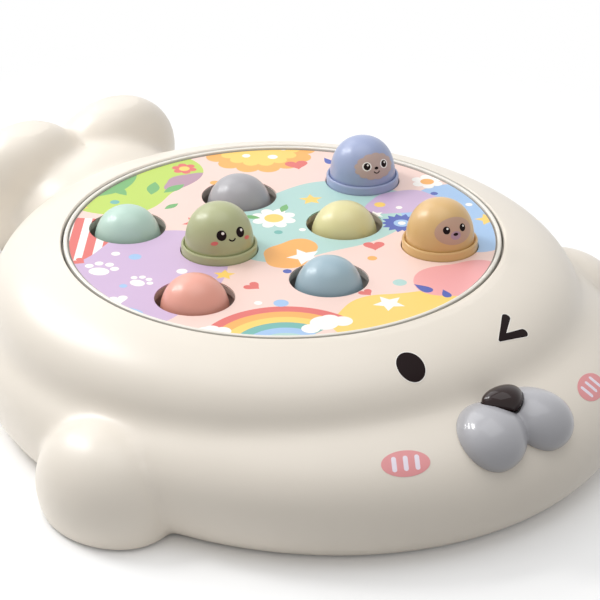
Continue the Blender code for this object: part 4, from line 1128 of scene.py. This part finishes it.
def floor_finish():
    """Pale to look at, darker to the light beyond the toy's edge, and plain white further away."""
    made = bpy.data.materials.new("floor_white")
    made.use_nodes = True
    nodes, links = made.node_tree.nodes, made.node_tree.links
    shader = nodes["Principled BSDF"]
    shader.inputs["Roughness"].default_value = 0.9
    shader.inputs["Specular IOR Level"].default_value = 0.1
    seen = own_rays(nodes, links)
    place = nodes.new("ShaderNodeTexCoord")
    length = nodes.new("ShaderNodeVectorMath")
    length.operation = "LENGTH"
    links.new(place.outputs["Object"], length.inputs[0])
    away = length.outputs["Value"]

    tones = nodes.new("ShaderNodeMix")
    tones.data_type = "RGBA"
    tones.inputs["A"].default_value = FLOOR_DARK
    tones.inputs["B"].default_value = FLOOR_PALE
    pale = with_rays(nodes, links, "MAXIMUM", fade(nodes, links, away, DARK_FROM, PALE_UP_TO), seen)
    links.new(pale, tones.inputs["Factor"])
    links.new(tones.outputs["Result"], shader.inputs["Base Color"])

    white = nodes.new("ShaderNodeEmission")
    both = nodes.new("ShaderNodeMixShader")
    plain = with_rays(nodes, links, "MULTIPLY", fade(nodes, links, away, SHADOW_UP_TO, WHITE_FROM), seen)
    links.new(plain, both.inputs["Fac"])
    links.new(shader.outputs["BSDF"], both.inputs[1])
    links.new(white.outputs["Emission"], both.inputs[2])
    links.new(both.outputs["Shader"], nodes["Material Output"].inputs["Surface"])
    return made


def make_stage():
    """A wide floor under the toy."""
    put_down()
    bpy.ops.mesh.primitive_plane_add(size=8.0, location=(0.0, 0.0, 0.0))
    floor = bpy.context.object
    floor.name = "floor"
    floor.data.materials.append(floor_finish())


def lamp(name, at, size, power, aim=TOY_SPOT):
    data = bpy.data.lights.new(name, "AREA")
    data.shape = "RECTANGLE"
    data.size, data.size_y = size
    data.energy = power
    made = bpy.data.objects.new(name, data)
    made.location = at
    made.rotation_euler = (Vector(at) - Vector(aim)).to_track_quat("Z", "Y").to_euler()
    bpy.context.scene.collection.objects.link(made)


def make_light():
    """A white sky, three soft boxes, and a window of three panes that the glossy muzzle mirrors."""
    world = bpy.data.worlds.new("studio")
    bpy.context.scene.world = world
    world.use_nodes = True
    nodes, links = world.node_tree.nodes, world.node_tree.links
    back = nodes["Background"]
    back.inputs["Color"].default_value = (1.0, 1.0, 1.0, 1.0)
    level = nodes.new("ShaderNodeMapRange")
    level.inputs["To Min"].default_value = SKY_SHARE
    level.inputs["To Max"].default_value = 1.0
    links.new(own_rays(nodes, links), level.inputs["Value"])
    links.new(level.outputs["Result"], back.inputs["Strength"])
    lamp("back_softbox", (0.1, 1.2, 1.1), (0.9, 0.9), 4.0)
    lamp("left_back_softbox", (-0.95, 0.75, 1.15), (0.9, 0.9), 1.7)
    lamp("ceiling_softbox", (0.0, 0.0, 1.4), (1.2, 1.2), 5.9)
    lamp("window_pane_low", (-0.32, 0.80, 0.49), (0.28, 0.065), 1.1, MUZZLE_SPOT)
    lamp("window_pane_middle", (-0.36, 0.69, 0.65), (0.28, 0.075), 1.2, MUZZLE_SPOT)
    lamp("window_pane_high", (-0.36, 0.56, 0.81), (0.28, 0.150), 2.4, MUZZLE_SPOT)


def make_camera():
    data = bpy.data.cameras.new("camera")
    data.sensor_width = SENSOR_MM
    data.lens = LENS_MM
    camera = bpy.data.objects.new("camera", data)
    camera.location = CAMERA_AT
    camera.rotation_euler = Euler([math.radians(turn) for turn in CAMERA_TURN], "XYZ")
    bpy.context.scene.collection.objects.link(camera)
    bpy.context.scene.camera = camera


# The pieces that keep the shape they have in the frame

def winding(name, colour):
    """Enamelled wire, wound in even turns."""
    made = metal(name, colour, 0.34, 0.05)
    nodes, links = made.node_tree.nodes, made.node_tree.links
    turns = nodes.new("ShaderNodeTexWave")
    turns.bands_direction = "Z"
    turns.inputs["Scale"].default_value = 620.0
    turns.inputs["Distortion"].default_value = 0.4
    ridges = nodes.new("ShaderNodeBump")
    ridges.inputs["Strength"].default_value = 0.7
    ridges.inputs["Distance"].default_value = 0.0003
    links.new(nodes["Texture Coordinate"].outputs["Object"], turns.inputs["Vector"])
    links.new(turns.outputs["Fac"], ridges.inputs["Height"])
    links.new(nodes["Bump"].outputs["Normal"], ridges.inputs["Normal"])
    links.new(ridges.outputs["Normal"], nodes["Principled BSDF"].inputs["Normal"])
    return made


def finish_inner_pieces():
    """Finishes for single pieces, and for families of pieces whose names begin alike."""
    base_cream, plated = (0.78, 0.715, 0.625), (0.63, 0.62, 0.60)
    finishes = {
        "base_cover": plastic("cream_base_plastic", base_cream, 0.48, 0.08, 700.0, 0.015),
        "battery_cover": plastic("cream_cover_plastic", base_cream, 0.45, 0.08, 700.0, 0.02),
        "mechanism_plate": plastic("grey_inner_plastic", (0.40, 0.40, 0.41), 0.5, 0.06),
        "circuit_board": plastic(
            "board_green_lacquer", (0.04, 0.22, 0.09), 0.35, 0.05, 500.0, 0.2, coat=0.3),
        "nose_switch": plastic(
            "switch_green_lacquer", (0.05, 0.25, 0.10), 0.35, 0.05, 500.0, 0.2, coat=0.3),
        "speaker": plastic("speaker_black", (0.03, 0.03, 0.03), 0.55, 0.15, 500.0, 0.1),
        "power_knob": plastic("knob_black_plastic", (0.035, 0.035, 0.037), 0.42, 0.1, 700.0, 0.1),
        "power_switch_body": metal("switch_case_steel", (0.60, 0.60, 0.61), 0.32, 0.06),
    }
    families = {
        "rubber_foot": plastic("foot_grey_rubber", (0.17, 0.17, 0.175), 0.8, 0.3, 500.0, 0.08, 0.3),
        "base_screw": metal("screw_plated_steel", plated, 0.28, 0.08),
        "deck_screw": metal("deck_screw_steel", plated, 0.28, 0.08),
        "battery_cover_screw": metal("cover_screw_steel", plated, 0.28, 0.08),
        "battery": plastic("cell_blue_jacket", (0.10, 0.18, 0.40), 0.3, 0.03, 900.0, 0.08, coat=0.4),
        "latch_coil": winding("coil_copper_winding", (0.70, 0.34, 0.17)),
        "mole_plunger": metal("plunger_turned_steel", (0.60, 0.60, 0.62), 0.22, 0.05),
    }
    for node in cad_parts:
        family = next((name for name in families if node.startswith(name + "_") or node == name), None)
        if node in finishes:
            refinish(node, finishes[node])
        elif family:
            refinish(node, families[family])


finish_inner_pieces()
body = make_body()
make_deck()
make_artwork()
make_face(body)
caps = make_caps()
make_cap_faces(caps)
make_springs()
make_muzzle()
make_nose()
make_stage()
make_light()
make_camera()
bpy.context.scene.view_settings.view_transform = "Standard"
